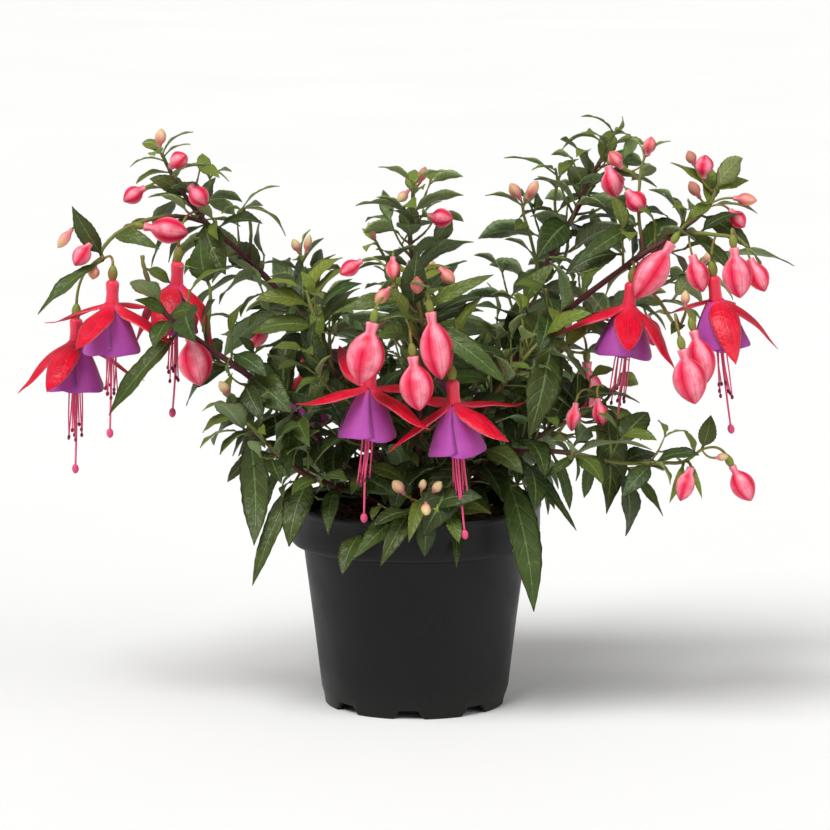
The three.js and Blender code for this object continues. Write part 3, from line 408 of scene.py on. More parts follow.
@dataclass(frozen=True)
class Finish:
    """What every finish has: a name, and the shader's constants.

    Attributes:
        name: The real material and how it was made or grew.
        roughness: The shader's roughness.
        relief: Depth of the bump in mm, or zero for none.
        shine: Strength of the mirror-like part, 0.5 for a clean surface.
        ior: Index of refraction.
        subsurface: How much light passes into the flesh.
        sheen: Strength of the soft bloom of fine hairs.
    """

    name: str
    roughness: float
    relief: float
    shine: float = 0.3
    ior: float = 1.45
    subsurface: float = 0.0
    sheen: float = 0.0

    FLESH_DEPTH = 0.0015
    FLESH_REACH = (1.0, 0.4, 0.25)
    SHEEN_ROUGHNESS = 0.4

    def look(self, add: Adder) -> Look:
        """The colour, the height of the relief and, on some finishes, the roughness, as outputs."""
        raise NotImplementedError

    def material(self) -> bpy.types.Material:
        """A new material with the shader's constants and the finish's own look."""
        material = bpy.data.materials.new(self.name)
        material.use_nodes = True
        tree = material.node_tree
        tree.nodes.clear()
        add = partial(add_node, tree)
        surface = add(
            Kind.SHADER, self.roughness, self.ior, self.shine, self.subsurface, self.FLESH_DEPTH,
            self.FLESH_REACH, self.sheen, self.SHEEN_ROUGHNESS,
        )
        colour, height, *roughness = self.look(add)
        links = {"Base Color": colour}
        if self.relief:
            links["Normal"] = add(Kind.BUMP, height, self.relief * METRES, 1.0)
        if roughness:
            links["Roughness"] = roughness[0]
        for socket, value in links.items():
            tree.links.new(value, surface.node.inputs[socket])
        add(Kind.OUTPUT, surface)
        return material


class Side(Enum):
    """The two faces of a leaf or a sepal."""

    OUTER = "outer"
    INNER = "inner"


@dataclass(frozen=True)
class LeafFinish(Finish):
    """Living leaf blade: a waxy green skin over sunk veins above, paler and matt with raised veins below."""

    side: Side = Side.OUTER
    young: str = "#8c9c34"
    mature: str = "#404f1a"
    old: str = "#2b3a15"
    cloud: str = "#7f9648"
    foot: str = "#8a6a4c"
    vein: str = "#7f9a60"
    vein_pairs: float = 8.0

    def look(self, add: Adder) -> Look:
        """Colours by age, with a pale midrib, curved side veins and cloudy shades between them."""
        across, along, _ = add(Kind.DIRECTIONS, add(Kind.PATTERN))
        age, own, _ = add(Kind.VALUES, add(Kind.GROWTH))
        spot = add(Kind.SPOT)
        side = add(Kind.ABSOLUTE, add(Kind.TIMES_PLUS, across, 2.0, -1.0))
        midrib = add(Kind.RANGE, side, 0.03, 0.11, 1.0, 0.0)
        climb = add(Kind.TIMES, add(Kind.POWER, side, 1.3), 0.16)
        wave = add(Kind.FRACTION, add(Kind.TIMES, add(Kind.MINUS, along, climb), self.vein_pairs))
        near_vein = add(Kind.RANGE, add(Kind.ABSOLUTE, add(Kind.MINUS, wave, 0.5)), 0.03, 0.13, 1.0, 0.0)
        veins = add(Kind.TIMES, near_vein, add(Kind.RANGE, side, 0.75, 1.0, 1.0, 0.0))
        green = add(Kind.RAMP, age, stops=((0.0, self.young), (0.55, self.mature), (1.0, self.old)))
        clouds = add(Kind.RANGE, add(Kind.NOISE, spot, per_mm(6.0), 3.0, GRAIN), 0.35, 0.7, 0.0, 0.2)
        green = add(Kind.MIX, clouds, green, add(Kind.MIX, 0.4, green, self.cloud))
        hue, light = add(Kind.TIMES_PLUS, own, 0.03, 0.478), add(Kind.TIMES_PLUS, own, 0.42, 0.8)
        green = add(Kind.TINT, hue, light, green)
        green = add(Kind.MIX, add(Kind.TIMES, veins, 0.18), green, self.vein)
        green = add(Kind.MIX, add(Kind.TIMES, midrib, 0.45), green, self.vein)
        green = washed(add, green, (along, 0.02, 0.14, 0.55, 0.0, self.foot))
        raised = add(Kind.TIMES, add(Kind.LARGER, veins, midrib), -1.0 if self.side is Side.OUTER else 0.8)
        grain = add(Kind.TIMES, add(Kind.NOISE, spot, per_mm(0.9), 3.0, GRAIN), 0.4)
        puckers = add(Kind.TIMES_PLUS, add(Kind.NOISE, spot, per_mm(2.6), 1.0, GRAIN), 1.6, grain)
        return green, add(Kind.PLUS, raised, puckers)


@dataclass(frozen=True)
class StemFinish(Finish):
    """Soft wood: brown purple bark low down, smooth wine red higher up and green at the growing tip."""

    bark: str = "#3a2827"
    wine: str = "#56262e"
    tip: str = "#77823c"
    streak: str = "#7a5a4e"

    def look(self, add: Adder) -> Look:
        """Colours by the distance along the stem and the stem's own age, with long pale streaks."""
        place = add(Kind.PATTERN)
        age = add(Kind.VALUES, add(Kind.GROWTH))[0]
        reach = add(Kind.PLUS, add(Kind.DIRECTIONS, place)[1], add(Kind.TIMES_PLUS, age, -0.8, 0.8))
        stops = ((0.1, self.bark), (0.4, self.wine), (0.75, self.wine), (1.0, self.tip))
        streaks = add(Kind.NOISE, add(Kind.STRETCH, place, (5.0, 40.0, 1.0)), 3.0, 4.0, GRAIN)
        colour = washed(
            add, add(Kind.RAMP, reach, stops=stops), (streaks, 0.4, 0.7, 0.0, 0.45, self.streak)
        )
        return colour, streaks


@dataclass(frozen=True)
class StalkFinish(Finish):
    """Flower stalk and seed vessel: smooth green flesh flushed with red."""

    green: str = "#7c8a38"
    flush: str = "#8e4038"

    def look(self, add: Adder) -> Look:
        """Mixes the two colours by cloudy noise, as far as the item's own number lets it."""
        spot = add(Kind.SPOT)
        own = add(Kind.VALUES, add(Kind.GROWTH))[1]
        clouds = add(Kind.RANGE, add(Kind.NOISE, spot, per_mm(4.0), 3.0, GRAIN), 0.35, 0.65)
        colour = add(Kind.MIX, add(Kind.TIMES, clouds, own), self.green, self.flush)
        return colour, add(Kind.NOISE, spot, per_mm(0.8), 3.0, GRAIN)


@dataclass(frozen=True)
class SepalFinish(Finish):
    """Sepal: waxy scarlet outside with fine long veins; crepe-like and rosier inside."""

    side: Side = Side.OUTER
    root: str = "#ee405c"
    body: str = "#e4002e"
    deep: str = "#b2001e"
    # rim is the colour of a painted highlight along the sepal's edges.
    rim: str = "#fb7288"

    def look(self, add: Adder) -> Look:
        """Pale at the root, deep red streaks along it, a painted highlight along the rim, and fine ridges or
        crepe as relief.

        The real crepe is too fine to show, so it is drawn two to three times coarser.
        """
        place, spot = add(Kind.PATTERN), add(Kind.SPOT)
        across, along, _ = add(Kind.DIRECTIONS, place)
        streaks = add(Kind.NOISE, add(Kind.STRETCH, place, (9.0, 1.1, 1.0)), 2.4, 3.0, GRAIN)
        side = add(Kind.ABSOLUTE, add(Kind.TIMES_PLUS, across, 2.0, -1.0))
        colour = washed(
            add, self.body,
            (streaks, 0.35, 0.72, 0.0, 0.9, self.deep),
            (along, 0.0, 0.32, 0.8, 0.0, self.root),
            # Painted highlight along both edges of the sepal.
            (side, 0.8, 0.98, 0.0, 0.9, self.rim),
            (add(Kind.NOISE, spot, per_mm(5.0), 3.0, GRAIN), 0.45, 0.75, 0.0, 0.3, self.root),
        )
        crinkle, ridges = (1.9, 0.6) if self.side is Side.OUTER else (0.9, 1.0)
        crepe = add(Kind.NOISE, spot, per_mm(crinkle), 2.0, GRAIN)
        return colour, add(Kind.PLUS, crepe, add(Kind.TIMES, streaks, ridges))


@dataclass(frozen=True)
class PetalFinish(Finish):
    """Corolla petal: thin violet velvet, rosy at its foot, with fanned veins."""

    body: str = "#ad48a2"
    deep: str = "#983c92"
    light: str = "#b85aae"
    foot: str = "#d63a80"

    def look(self, add: Adder) -> Look:
        """Violet with darker clouds, a rosy foot, and fine veins that run from foot to hem."""
        place = add(Kind.PATTERN)
        along = add(Kind.DIRECTIONS, place)[1]
        veins = add(Kind.NOISE, add(Kind.STRETCH, place, (10.0, 0.8, 1.0)), 2.2, 3.0, GRAIN)
        clouds = add(Kind.NOISE, add(Kind.SPOT), per_mm(9.0), 3.0, GRAIN)
        colour = washed(
            add, self.body,
            (veins, 0.35, 0.75, 0.0, 0.4, self.deep),
            (clouds, 0.4, 0.7, 0.0, 0.35, self.light),
            (along, 0.0, 0.22, 0.9, 0.0, self.foot),
        )
        return colour, veins


@dataclass(frozen=True)
class BudFinish(Finish):
    """Closed bud: taut satin flesh, rose red with pale streaks and a painted highlight between four seams;
    cream while young.
    """

    ripe: str = "#ee2a56"
    deep: str = "#c40c34"
    # pale colours the streaks, the painted highlight in each panel's middle and the paler end by the tube.
    pale: str = "#ffaabb"
    unripe: str = "#dcc892"
    flush: str = "#e08688"
    brown: str = "#b06058"

    def look(self, add: Adder) -> Look:
        """Colours by ripeness, with a painted highlight in the middle of each panel; the free growth value
        turns the bud brown.
        """
        place = add(Kind.PATTERN)
        across, along, _ = add(Kind.DIRECTIONS, place)
        ripeness, _, brownness = add(Kind.VALUES, add(Kind.GROWTH))
        seam = add(Kind.ABSOLUTE, add(Kind.MINUS, add(Kind.FRACTION, add(Kind.TIMES, across, 4.0)), 0.5))
        streaks = add(Kind.NOISE, add(Kind.STRETCH, place, (26.0, 0.9, 1.0)), 2.0, 2.0, GRAIN)
        # The mask below is 1 in each panel's middle and 0 at the seams; with the pale streaks it paints a
        # highlight where each panel bulges.
        panel_highlight_mask = add(Kind.RANGE, seam, 0.04, 0.44, 1.0, 0.0)
        light = add(Kind.TIMES, add(Kind.RANGE, streaks, 0.3, 0.7, 0.45, 1.0), panel_highlight_mask)
        blotches = add(Kind.NOISE, add(Kind.SPOT), per_mm(4.5), 3.0, GRAIN)
        young = washed(add, self.flush, (along, 0.15, 0.8, 0.0, 1.0, self.unripe))
        colour = washed(
            # Pale streaks strongest in each panel's middle: the bud's own streaks and a painted highlight.
            add, add(Kind.MIX, add(Kind.TIMES, light, 0.95), self.ripe, self.pale),
            (blotches, 0.42, 0.65, 0.0, 0.4, self.deep),
            (seam, 0.42, 0.485, 0.0, 0.9, self.deep),
            (along, 0.8, 1.0, 0.0, 0.6, self.deep),
            (along, 0.02, 0.28, 0.45, 0.0, self.pale),
            (ripeness, 0.15, 0.85, 0.92, 0.0, young),
        )
        relief = add(Kind.PLUS, streaks, add(Kind.TIMES, blotches, 0.6))
        return add(Kind.MIX, brownness, colour, self.brown), relief


@dataclass(frozen=True)
class ThreadFinish(Finish):
    """Stamens and pistil: slippery rose threads with darker, grainy anthers at their ends."""

    thread: str = "#e8457c"
    thread_light: str = "#f58aa2"
    knob: str = "#7c1c3e"
    knob_light: str = "#b04a6c"

    def look(self, add: Adder) -> Look:
        """Thread colour, turned to the knob's by the free growth value, with grain on it."""
        knobness = add(Kind.VALUES, add(Kind.GROWTH))[2]
        grain = add(Kind.NOISE, add(Kind.SPOT), per_mm(0.5), 3.0, GRAIN)
        thread = washed(add, self.thread, (grain, 0.3, 0.7, 0.0, 0.35, self.thread_light))
        knob = washed(add, self.knob, (grain, 0.4, 0.7, 0.0, 0.5, self.knob_light))
        return add(Kind.MIX, knobness, thread, knob), grain


@dataclass(frozen=True)
class PotFinish(Finish):
    """Recycled black polypropylene, injection moulded: satin, with faint orange peel, scuffs and dust."""

    body: str = "#090a0a"
    dust: str = "#25221f"

    def look(self, add: Adder) -> Look:
        """Near black, dusty in places and near the foot, with rough scuffs.

        The moulding's real orange peel is too fine to show, so it is drawn coarser.
        """
        spot = add(Kind.SPOT)
        clouds = add(Kind.NOISE, spot, per_mm(30.0), 5.0, GRAIN)
        specks = add(Kind.NOISE, spot, per_mm(1.6), 4.0, GRAIN)
        peel = add(Kind.NOISE, spot, per_mm(0.9), 2.0, GRAIN)
        dusty = add(Kind.TIMES, add(Kind.RANGE, clouds, 0.45, 0.75), add(Kind.RANGE, specks, 0.5, 0.72))
        low = add(Kind.RANGE, add(Kind.DIRECTIONS, spot)[2], 0.0, 0.018, 0.5, 0.0)
        colour = add(Kind.MIX, add(Kind.TIMES, dusty, 0.35), self.body, self.dust)
        colour = add(Kind.MIX, add(Kind.TIMES, low, specks), colour, self.dust)
        roughness = add(Kind.RANGE, clouds, 0.3, 0.7, self.roughness - 0.05, self.roughness + 0.1)
        return colour, add(Kind.PLUS, peel, add(Kind.TIMES, specks, 0.4)), roughness


@dataclass(frozen=True)
class CompostFinish(Finish):
    """Damp peat compost: dark red brown crumbs with paler fibres and a few grey grains."""

    dark: str = "#2a1712"
    warm: str = "#5a3325"
    fibre: str = "#8a6248"

    def look(self, add: Adder) -> Look:
        """Crumb-sized patches of dark and warm brown, with fibres and grit as relief."""
        spot = add(Kind.SPOT)
        crumbs = add(Kind.NOISE, spot, per_mm(3.0), 6.0, GRAIN)
        grit = add(Kind.NOISE, spot, per_mm(0.7), 3.0, GRAIN)
        colour = washed(
            add, self.dark,
            (crumbs, 0.35, 0.65, 0.0, 1.0, self.warm),
            (grit, 0.62, 0.75, 0.0, 0.7, self.fibre),
        )
        return colour, add(Kind.PLUS, crumbs, add(Kind.TIMES, grit, 0.5))


@dataclass(frozen=True)
class BarkFinish(Finish):
    """Old stem bark: dull brown, split lengthwise into flakes."""

    dark: str = "#3b2a25"
    pale: str = "#86695a"

    def look(self, add: Adder) -> Look:
        """Long splits between two browns."""
        place = add(Kind.STRETCH, add(Kind.PATTERN), (12.0, 3.0, 1.0))
        splits = add(Kind.NOISE, place, 2.0, 5.0, GRAIN)
        return washed(add, self.dark, (splits, 0.35, 0.65, 0.0, 1.0, self.pale)), splits


@dataclass(frozen=True)
class FloorFinish(Finish):
    """Matt painted board, pale and even."""

    paint: str = "#f4f4f3"
    cloud: str = "#eeeeed"

    def look(self, add: Adder) -> Look:
        """One pale colour with the faintest clouding."""
        clouds = add(Kind.NOISE, add(Kind.SPOT), per_mm(400.0), 3.0, GRAIN)
        return add(Kind.MIX, clouds, self.paint, self.cloud), clouds


class Palette:
    """Each finish made once, to share among the pieces."""

    def __init__(self) -> None:
        """Makes the materials."""
        under = {
            "side": Side.INNER, "young": "#9db36c", "mature": "#7f9260", "old": "#72855a", "vein": "#b4bf9a"
        }
        inner = {"side": Side.INNER, "root": "#ee4a68", "body": "#e82244", "deep": "#c80f34"}
        satin = {"shine": 0.45, "subsurface": 0.12}
        self.leaf = [
            LeafFinish("leaf blade, upper side", 0.4, 0.4, shine=0.36).material(),
            LeafFinish("leaf blade, underside", 0.62, 0.4, **under).material(),
        ]
        self.sepal = [
            SepalFinish("sepal, waxy outer side", 0.34, 0.45, **satin).material(),
            SepalFinish("sepal, crepe inner side", 0.5, 0.25, subsurface=0.15, **inner).material(),
        ]
        self.stem = [StemFinish("soft wood stem", 0.55, 0.25).material()]
        self.stalk = [StalkFinish("flower stalk", 0.45, 0.08, subsurface=0.1).material()]
        self.petal = [
            PetalFinish("corolla petal, velvety", 0.55, 0.1, subsurface=0.15, sheen=0.2).material()
        ]
        self.bud = [BudFinish("bud flesh, satin", 0.34, 0.2, **satin).material()]
        self.thread = [ThreadFinish("stamen thread", 0.4, 0.08, subsurface=0.15).material()]
        self.pot = [PotFinish("black polypropylene, moulded", 0.42, 0.05, shine=0.24, ior=1.49).material()]
        self.compost = [CompostFinish("peat compost, damp", 0.9, 1.2).material()]
        self.bark = [BarkFinish("old stem bark", 0.8, 0.8).material()]


# ---- the pot and what fills it


@dataclass
class NurseryPot:
    """The pot: tapered body, deep band with an undercut lip, beaded rim, raised base and notched foot ring.

    Attributes:
        height: Height of the rim above the floor.
        rim: Outer radius of the rim's bead.
        band: Depth of the upright band.
        shoulder: Radius of the body just under the band.
        foot: Radius of the foot.
        foot_width: Width of the foot ring.
        wall: Thickness of the wall.
        base: Height of the raised base above the floor.
        notches: How many notches cut the foot ring.
        notch_half: Half of a notch's width at its top.
        notch_flare: How much wider it is at the floor.
        notch_height: Its height.
        notch_turn: Degrees that the first one is turned from the front.
        sides: Corners in each ring.
    """

    height: float = 97.0
    rim: float = 60.0
    band: float = 20.0
    shoulder: float = 53.0
    foot: float = 43.0
    foot_width: float = 3.0
    wall: float = 1.3
    base: float = 4.5
    notches: int = 8
    notch_half: float = 4.5
    notch_flare: float = 3.0
    notch_height: float = 4.0
    notch_turn: float = -4.0
    sides: int = 256

    LIFTED = slice(3, 7)
    CRISP = 32.0

    def notch_lift(self) -> Array:
        """How far the foot's edge is raised at each place round: a flat-topped ramp at each notch."""
        angle = np.linspace(0, 360, self.sides, endpoint=False)
        step = 360 / self.notches
        off = np.abs((angle + 90 - self.notch_turn + step / 2) % step - step / 2)
        slope = (self.notch_half + self.notch_flare - np.radians(off) * self.foot) / self.notch_flare
        return self.notch_height * np.clip(slope, 0, 1)

    def profile(self) -> Array:
        """The wall's outline as (radius, height), from the underside round the rim to the inside."""
        top, low, base = self.height, self.height - self.band, self.base
        r, s, f, w = self.rim, self.shoulder, self.foot, self.wall
        ring = f - self.foot_width
        return np.array([
            (2, base), (ring - 1, base), (ring, base - 0.4),
            (ring + 0.1, 0.5), (ring + 0.6, 0.0), (f - 0.5, 0.0), (f - 0.05, 0.5),
            (f + 0.5, base + 0.1), (f + 1.5, 8), (f + 5.3, 40), (s - 0.3, low - 3), (s, low - 0.9),
            (s + 0.5, low - 0.35), (s + 3.4, low - 0.1), (r - 2.2, low + 0.5), (r - 1.2, low + 1.6),
            (r - 0.85, low + 3.2), (r - 0.62, low + 9), (r - 0.55, top - 3.6), (r - 0.35, top - 2.9),
            (r - 0.02, top - 2.2), (r, top - 1.3), (r - 0.2, top - 0.5), (r - 0.8, top),
            (r - 1.9, top - 0.05), (r - 2.3, top - 0.7), (r - 2.45, top - 3), (r - w - 1.2, low + 7),
            (s - w + 0.6, low - 0.5), (s - w, low - 2), (f + 1.2 - w, 9), (f - w, base + w), (2, base + w),
        ])

    def build(self, palette: Palette) -> None:
        """Turns the outline about the upright axis, with the foot's edge lifted at each notch."""
        outline, angle = self.profile(), round_turn(self.sides)
        radius, height = outline[:, :1], outline[:, 1:] * np.ones(self.sides)
        height[self.LIFTED] += self.notch_lift()
        rings = np.stack([radius * np.cos(angle), radius * np.sin(angle), height], axis=-1)[None]
        make_piece("pot_shell", skin_of(rings), palette.pot, ("nursery_pot",), self.CRISP)


@dataclass
class Compost:
    """The compost: a plug with a lumpy top, loose crumbs and bits of fibre on it.

    Attributes:
        radius: Radius at the top, just inside the pot.
        edge: Height at the wall.
        middle: Height near the crown.
        crumbs: How many loose crumbs lie on it.
        crumb: Half the width of the smallest crumb, and how much more the widest has.
        fibres: Share of the crumbs that are long bits of fibre.
    """

    radius: float = 57.3
    edge: float = 86.0
    middle: float = 88.2
    crumbs: int = 420
    crumb: tuple[float, float] = (0.6, 1.7)
    fibres: float = 0.2

    BURIED = ((38.0, 7.0), (41.5, 9.0), (50.6, 73.0), (54.8, 80.5))

    def surface(self, x: Array, y: Array) -> Array:
        """Height of the top at a place: it rises towards the middle, with lumps of three sizes."""
        out = np.hypot(x, y) / self.radius
        spot = np.stack([x, y, np.zeros_like(x)], axis=-1)
        lumps = 0.8 * noise(spot, 17, 3) + 0.6 * noise(spot, 6.5, 5) + 0.4 * noise(spot, 2.6, 8)
        calm = 0.4 + 0.6 * np.clip(3 * (1 - out), 0, 1)
        return self.middle + (self.edge - self.middle) * out**2 + lumps * calm

    def plug_skin(self) -> Skin:
        """The plug: rings from its hidden bottom to its lumpy top."""
        angle, buried = round_turn(120), np.array(self.BURIED)
        outs = np.concatenate([buried[:, 0], np.linspace(self.radius, 0.6, 47)])
        x, y = outs[:, None] * np.cos(angle), outs[:, None] * np.sin(angle)
        z = self.surface(x, y)
        z[: len(buried)] = buried[:, 1:]
        return skin_of(np.stack([x, y, z], axis=-1)[None])

    def crumbs_skin(self) -> Skin:
        """Small knobbly bits, each a rough ball drawn out or not, turned at random and set in the top."""
        pick = np.random.default_rng(12).random((self.crumbs, 6))
        bumps = np.random.default_rng(4).random((self.crumbs, 5, 7))
        out, turn = self.radius * 0.97 * np.sqrt(pick[:, 0]), 2 * math.pi * pick[:, 1]
        spot = np.stack([out * np.cos(turn), out * np.sin(turn)], axis=-1)
        size = self.crumb[0] + self.crumb[1] * pick[:, 2] ** 3
        flat, ring = np.linspace(-0.92, 0.92, 5), round_turn(7)
        swell = np.sqrt(1 - flat**2)[None, :, None] * (0.75 + 0.5 * bumps)
        long = (1 + 2.2 * (pick[:, 3] > 1 - self.fibres))[:, None, None]
        bx = swell * np.cos(ring) * size[:, None, None] * long
        by = swell * np.sin(ring) * size[:, None, None]
        turn = (2 * math.pi * pick[:, 4])[:, None, None]
        x = bx * np.cos(turn) - by * np.sin(turn) + spot[:, 0, None, None]
        y = bx * np.sin(turn) + by * np.cos(turn) + spot[:, 1, None, None]
        ground = self.surface(spot[:, 0], spot[:, 1]) + 0.3 * size
        z = flat[None, :, None] * size[:, None, None] * 0.8 + ground[:, None, None] + 0 * x
        growth = pick[:, [5, 5, 5]] * [1, 0, 0]
        return skin_of(np.stack([x, y, z], axis=-1), growth)

    def build(self, palette: Palette) -> None:
        """Makes the plug and its crumbs as one piece."""
        bed = together([self.plug_skin(), self.crumbs_skin()])
        make_piece("compost_bed", bed, palette.compost, ("compost",))


@dataclass
class Crown:
    """The woody crown that the branches spring from: a short stump with splits and knots."""

    radius: float = 6.0
    low: float = 84.0
    top: float = 97.0

    def build(self, palette: Palette) -> None:
        """A stump whose radius is the plan's, times a slow wave round it, drawn in to a rounded top."""
        height = np.linspace(0, 1, 22)
        angle = round_turn(48)
        narrow = np.sqrt(np.clip(1 - np.clip((height - 0.55) / 0.46, 0, 1) ** 2, 0.02, 1))
        wave = 1 + 0.12 * np.sin(3 * angle + 1)[None] + 0.06 * np.sin(9 * angle[None] + 8 * height[:, None])
        reach = self.radius * narrow[:, None] * wave
        rise = (self.low + (self.top - self.low) * height)[:, None] * np.ones(48)
        rings = np.stack([reach * np.cos(angle), reach * np.sin(angle), rise], axis=-1)[None]
        make_piece("crown_stump", skin_of(rings), palette.bark, ("crown",))


# ---- the plant's plan


def level_side(along: Array) -> Array:
    """The level direction square to a stem's, or the one nearest to level if the stem is upright."""
    level = np.array([1.0, 0, 0]) if abs(along[2]) > 0.95 else np.cross(along, UP)
    return square_to(level, along)


@dataclass
class Leaf:
    """One leaf: where its foot and tip are, how wide it is and how its midrib and blade lie.

    Attributes:
        base: Foot, on the stem's middle line.
        tip: Tip.
        width: Widest part.
        rise: How far the midrib bows above the straight line from foot to tip.
        roll: Turn of the blade about that line, in radians.
        age: 0 for a new leaf at a tip, 1 for an old one.
        own: Whether the leaf has a place of its own in the plan.
        number: The item's own number from 0 to 1.
    """

    base: Array
    tip: Array
    width: float
    rise: float
    roll: float
    age: float
    own: bool
    number: float


@dataclass
class Stem:
    """One stem with its leaves and small buds.

    Attributes:
        route: Points from foot to tip. A place along the stem counts them.
        thick: Radius at the foot and at the tip.
        pairs: Number of leaf pairs, place of the first, and length of the first and last leaf.
        turn: Degrees that the first pair is turned round the stem.
        own: Leaves with a place of their own, as (place, tip, width, rise).
        buds: Small buds, as (place, top, tip, radius).
        row: The stem's own number, for scatter.
        youngest: Age of the last pair of leaves, where 1 is the oldest.
    """

    route: list[Point]
    thick: tuple[float, float]
    pairs: tuple[int, float, float, float]
    turn: float
    own: list[tuple[float, Point, float, float]] = field(default_factory=list)
    buds: list[tuple[float, Point, Point, float]] = field(default_factory=list)
    row: int = 0
    youngest: float = 0.15

    WIDTH_SHARE = 0.42
    RISE_SHARE = 0.13
    FORK = 62.0
    TIP = 1.12

    def station(self, place: float) -> tuple[Array, Array, float]:
        """The point, direction and radius at a place along the stem."""
        route = np.array(self.route, dtype=float)
        last = len(route) - 1
        k = min(int(place), last - 1)
        point = route[k] + (route[k + 1] - route[k]) * (place - k)
        radius = self.thick[0] + (self.thick[1] - self.thick[0]) * place / last
        return point, unit(route[k + 1] - route[k]), radius

    def leaves(self) -> list[Leaf]:
        """The stem's leaves: crossed pairs that droop, and those with a place of their own."""
        count, first, longest, shortest = self.pairs
        last = len(self.route) - self.TIP
        made = []
        for k in range(count):
            share = k / (count - 1) if count > 1 else 0.0
            point, along, _ = self.station(first + (last - first) * share)
            side = level_side(along)
            for half in (0, 1):
                item = 2 * k + half
                bend, fork, size, droop, roll, number = (
                    scatter(self.row, item + step) for step in (0, 50, 100, 150, 200, 250)
                )
                out = turned_about(
                    side, along, math.radians(self.turn + 90 * k + 180 * half + 30 * (bend - 0.5))
                )
                fork = math.radians(self.FORK - 22 * share + 16 * (fork - 0.5))
                heading = along * math.cos(fork) + out * math.sin(fork)
                heading = unit(heading - UP * (0.25 + 0.35 * droop))
                length = (longest + (shortest - longest) * share) * (0.8 + 0.4 * size)
                base = point + along * 0.6 * half
                age = 1 - (1 - self.youngest) * share**1.3
                made.append(Leaf(
                    base, base + heading * length, length * self.WIDTH_SHARE, self.RISE_SHARE * length,
                    0.7 * (roll - 0.5), age, False, number,
                ))
        for item, (place, tip, width, rise) in enumerate(self.own):
            foot, number = self.station(place)[0], scatter(self.row, item + 300)
            age = max(1 - 0.75 * place / (len(self.route) - 1), min(0.7, width / 16))
            made.append(Leaf(foot, place_at(tip), width, rise, 0.0, age, True, number))
        return made

    def shoots(self) -> list["Stem"]:
        """Short side shoots that fill the bush: one beside each leaf, with small leaves of its own.

        Each leans out half-way between the leaf and the stem, and bends up.
        """
        count = self.pairs[0]
        last = len(self.route) - self.TIP
        made = []
        for item in range(2 * count + 8):
            share = 0.78 * (item // 2 + 0.5) / (count + 4)
            number, reach, size = (scatter(self.row, item + step) for step in (800, 840, 880))
            point, along, radius = self.station(0.6 + (last - 0.6) * share)
            turn = self.turn + 35 + 90 * (item // 2) + 180 * (item % 2) + 60 * (number - 0.5)
            out = turned_about(level_side(along), along, math.radians(turn))
            length = (12 + 22 * reach) * (1 - 0.45 * share)
            heading = unit(along * 0.5 + out * 0.85 + UP * 0.15)
            middle = point + heading * length * 0.5
            tip = middle + unit(heading + UP * 0.45) * length * 0.5
            leaf = (26 + 18 * size) * (1 - 0.35 * share)
            thick = min(radius * 0.6, 0.8)
            made.append(Stem(
                [tuple(point), tuple(middle), tuple(tip)], (thick, thick * 0.6), (2, 0.8, leaf, leaf * 0.6),
                360 * number, row=1000 + 40 * self.row + item, youngest=0.75 - 0.6 * share,
            ))
        return made


@dataclass
class Branch:
    """A branch: its name, its main stem and its side twigs, in one node of the frame."""

    name: str
    stems: list[Stem]


@dataclass
class Flower:
    """An open flower.

    Attributes:
        name: Its name, which follows "flower_" in the frame.
        on: The branch, the twig's number or -1 for the main stem, and the place along it.
        top: Top of the tube.
        hem: Middle of the corolla's hem.
        sepals: Each sepal's (degrees round from the front, degrees up from the axis).
        fullness: Scale of the corolla's radius.
    """

    name: str
    on: tuple[str, int, float]
    top: Point
    hem: Point
    sepals: list[tuple[float, float]]
    fullness: float = 1.0


@dataclass
class Bud:
    """A large bud: its name, the stem that carries it and where, its top, its point and its radius."""

    name: str
    on: tuple[str, int, float]
    top: Point
    tip: Point
    radius: float


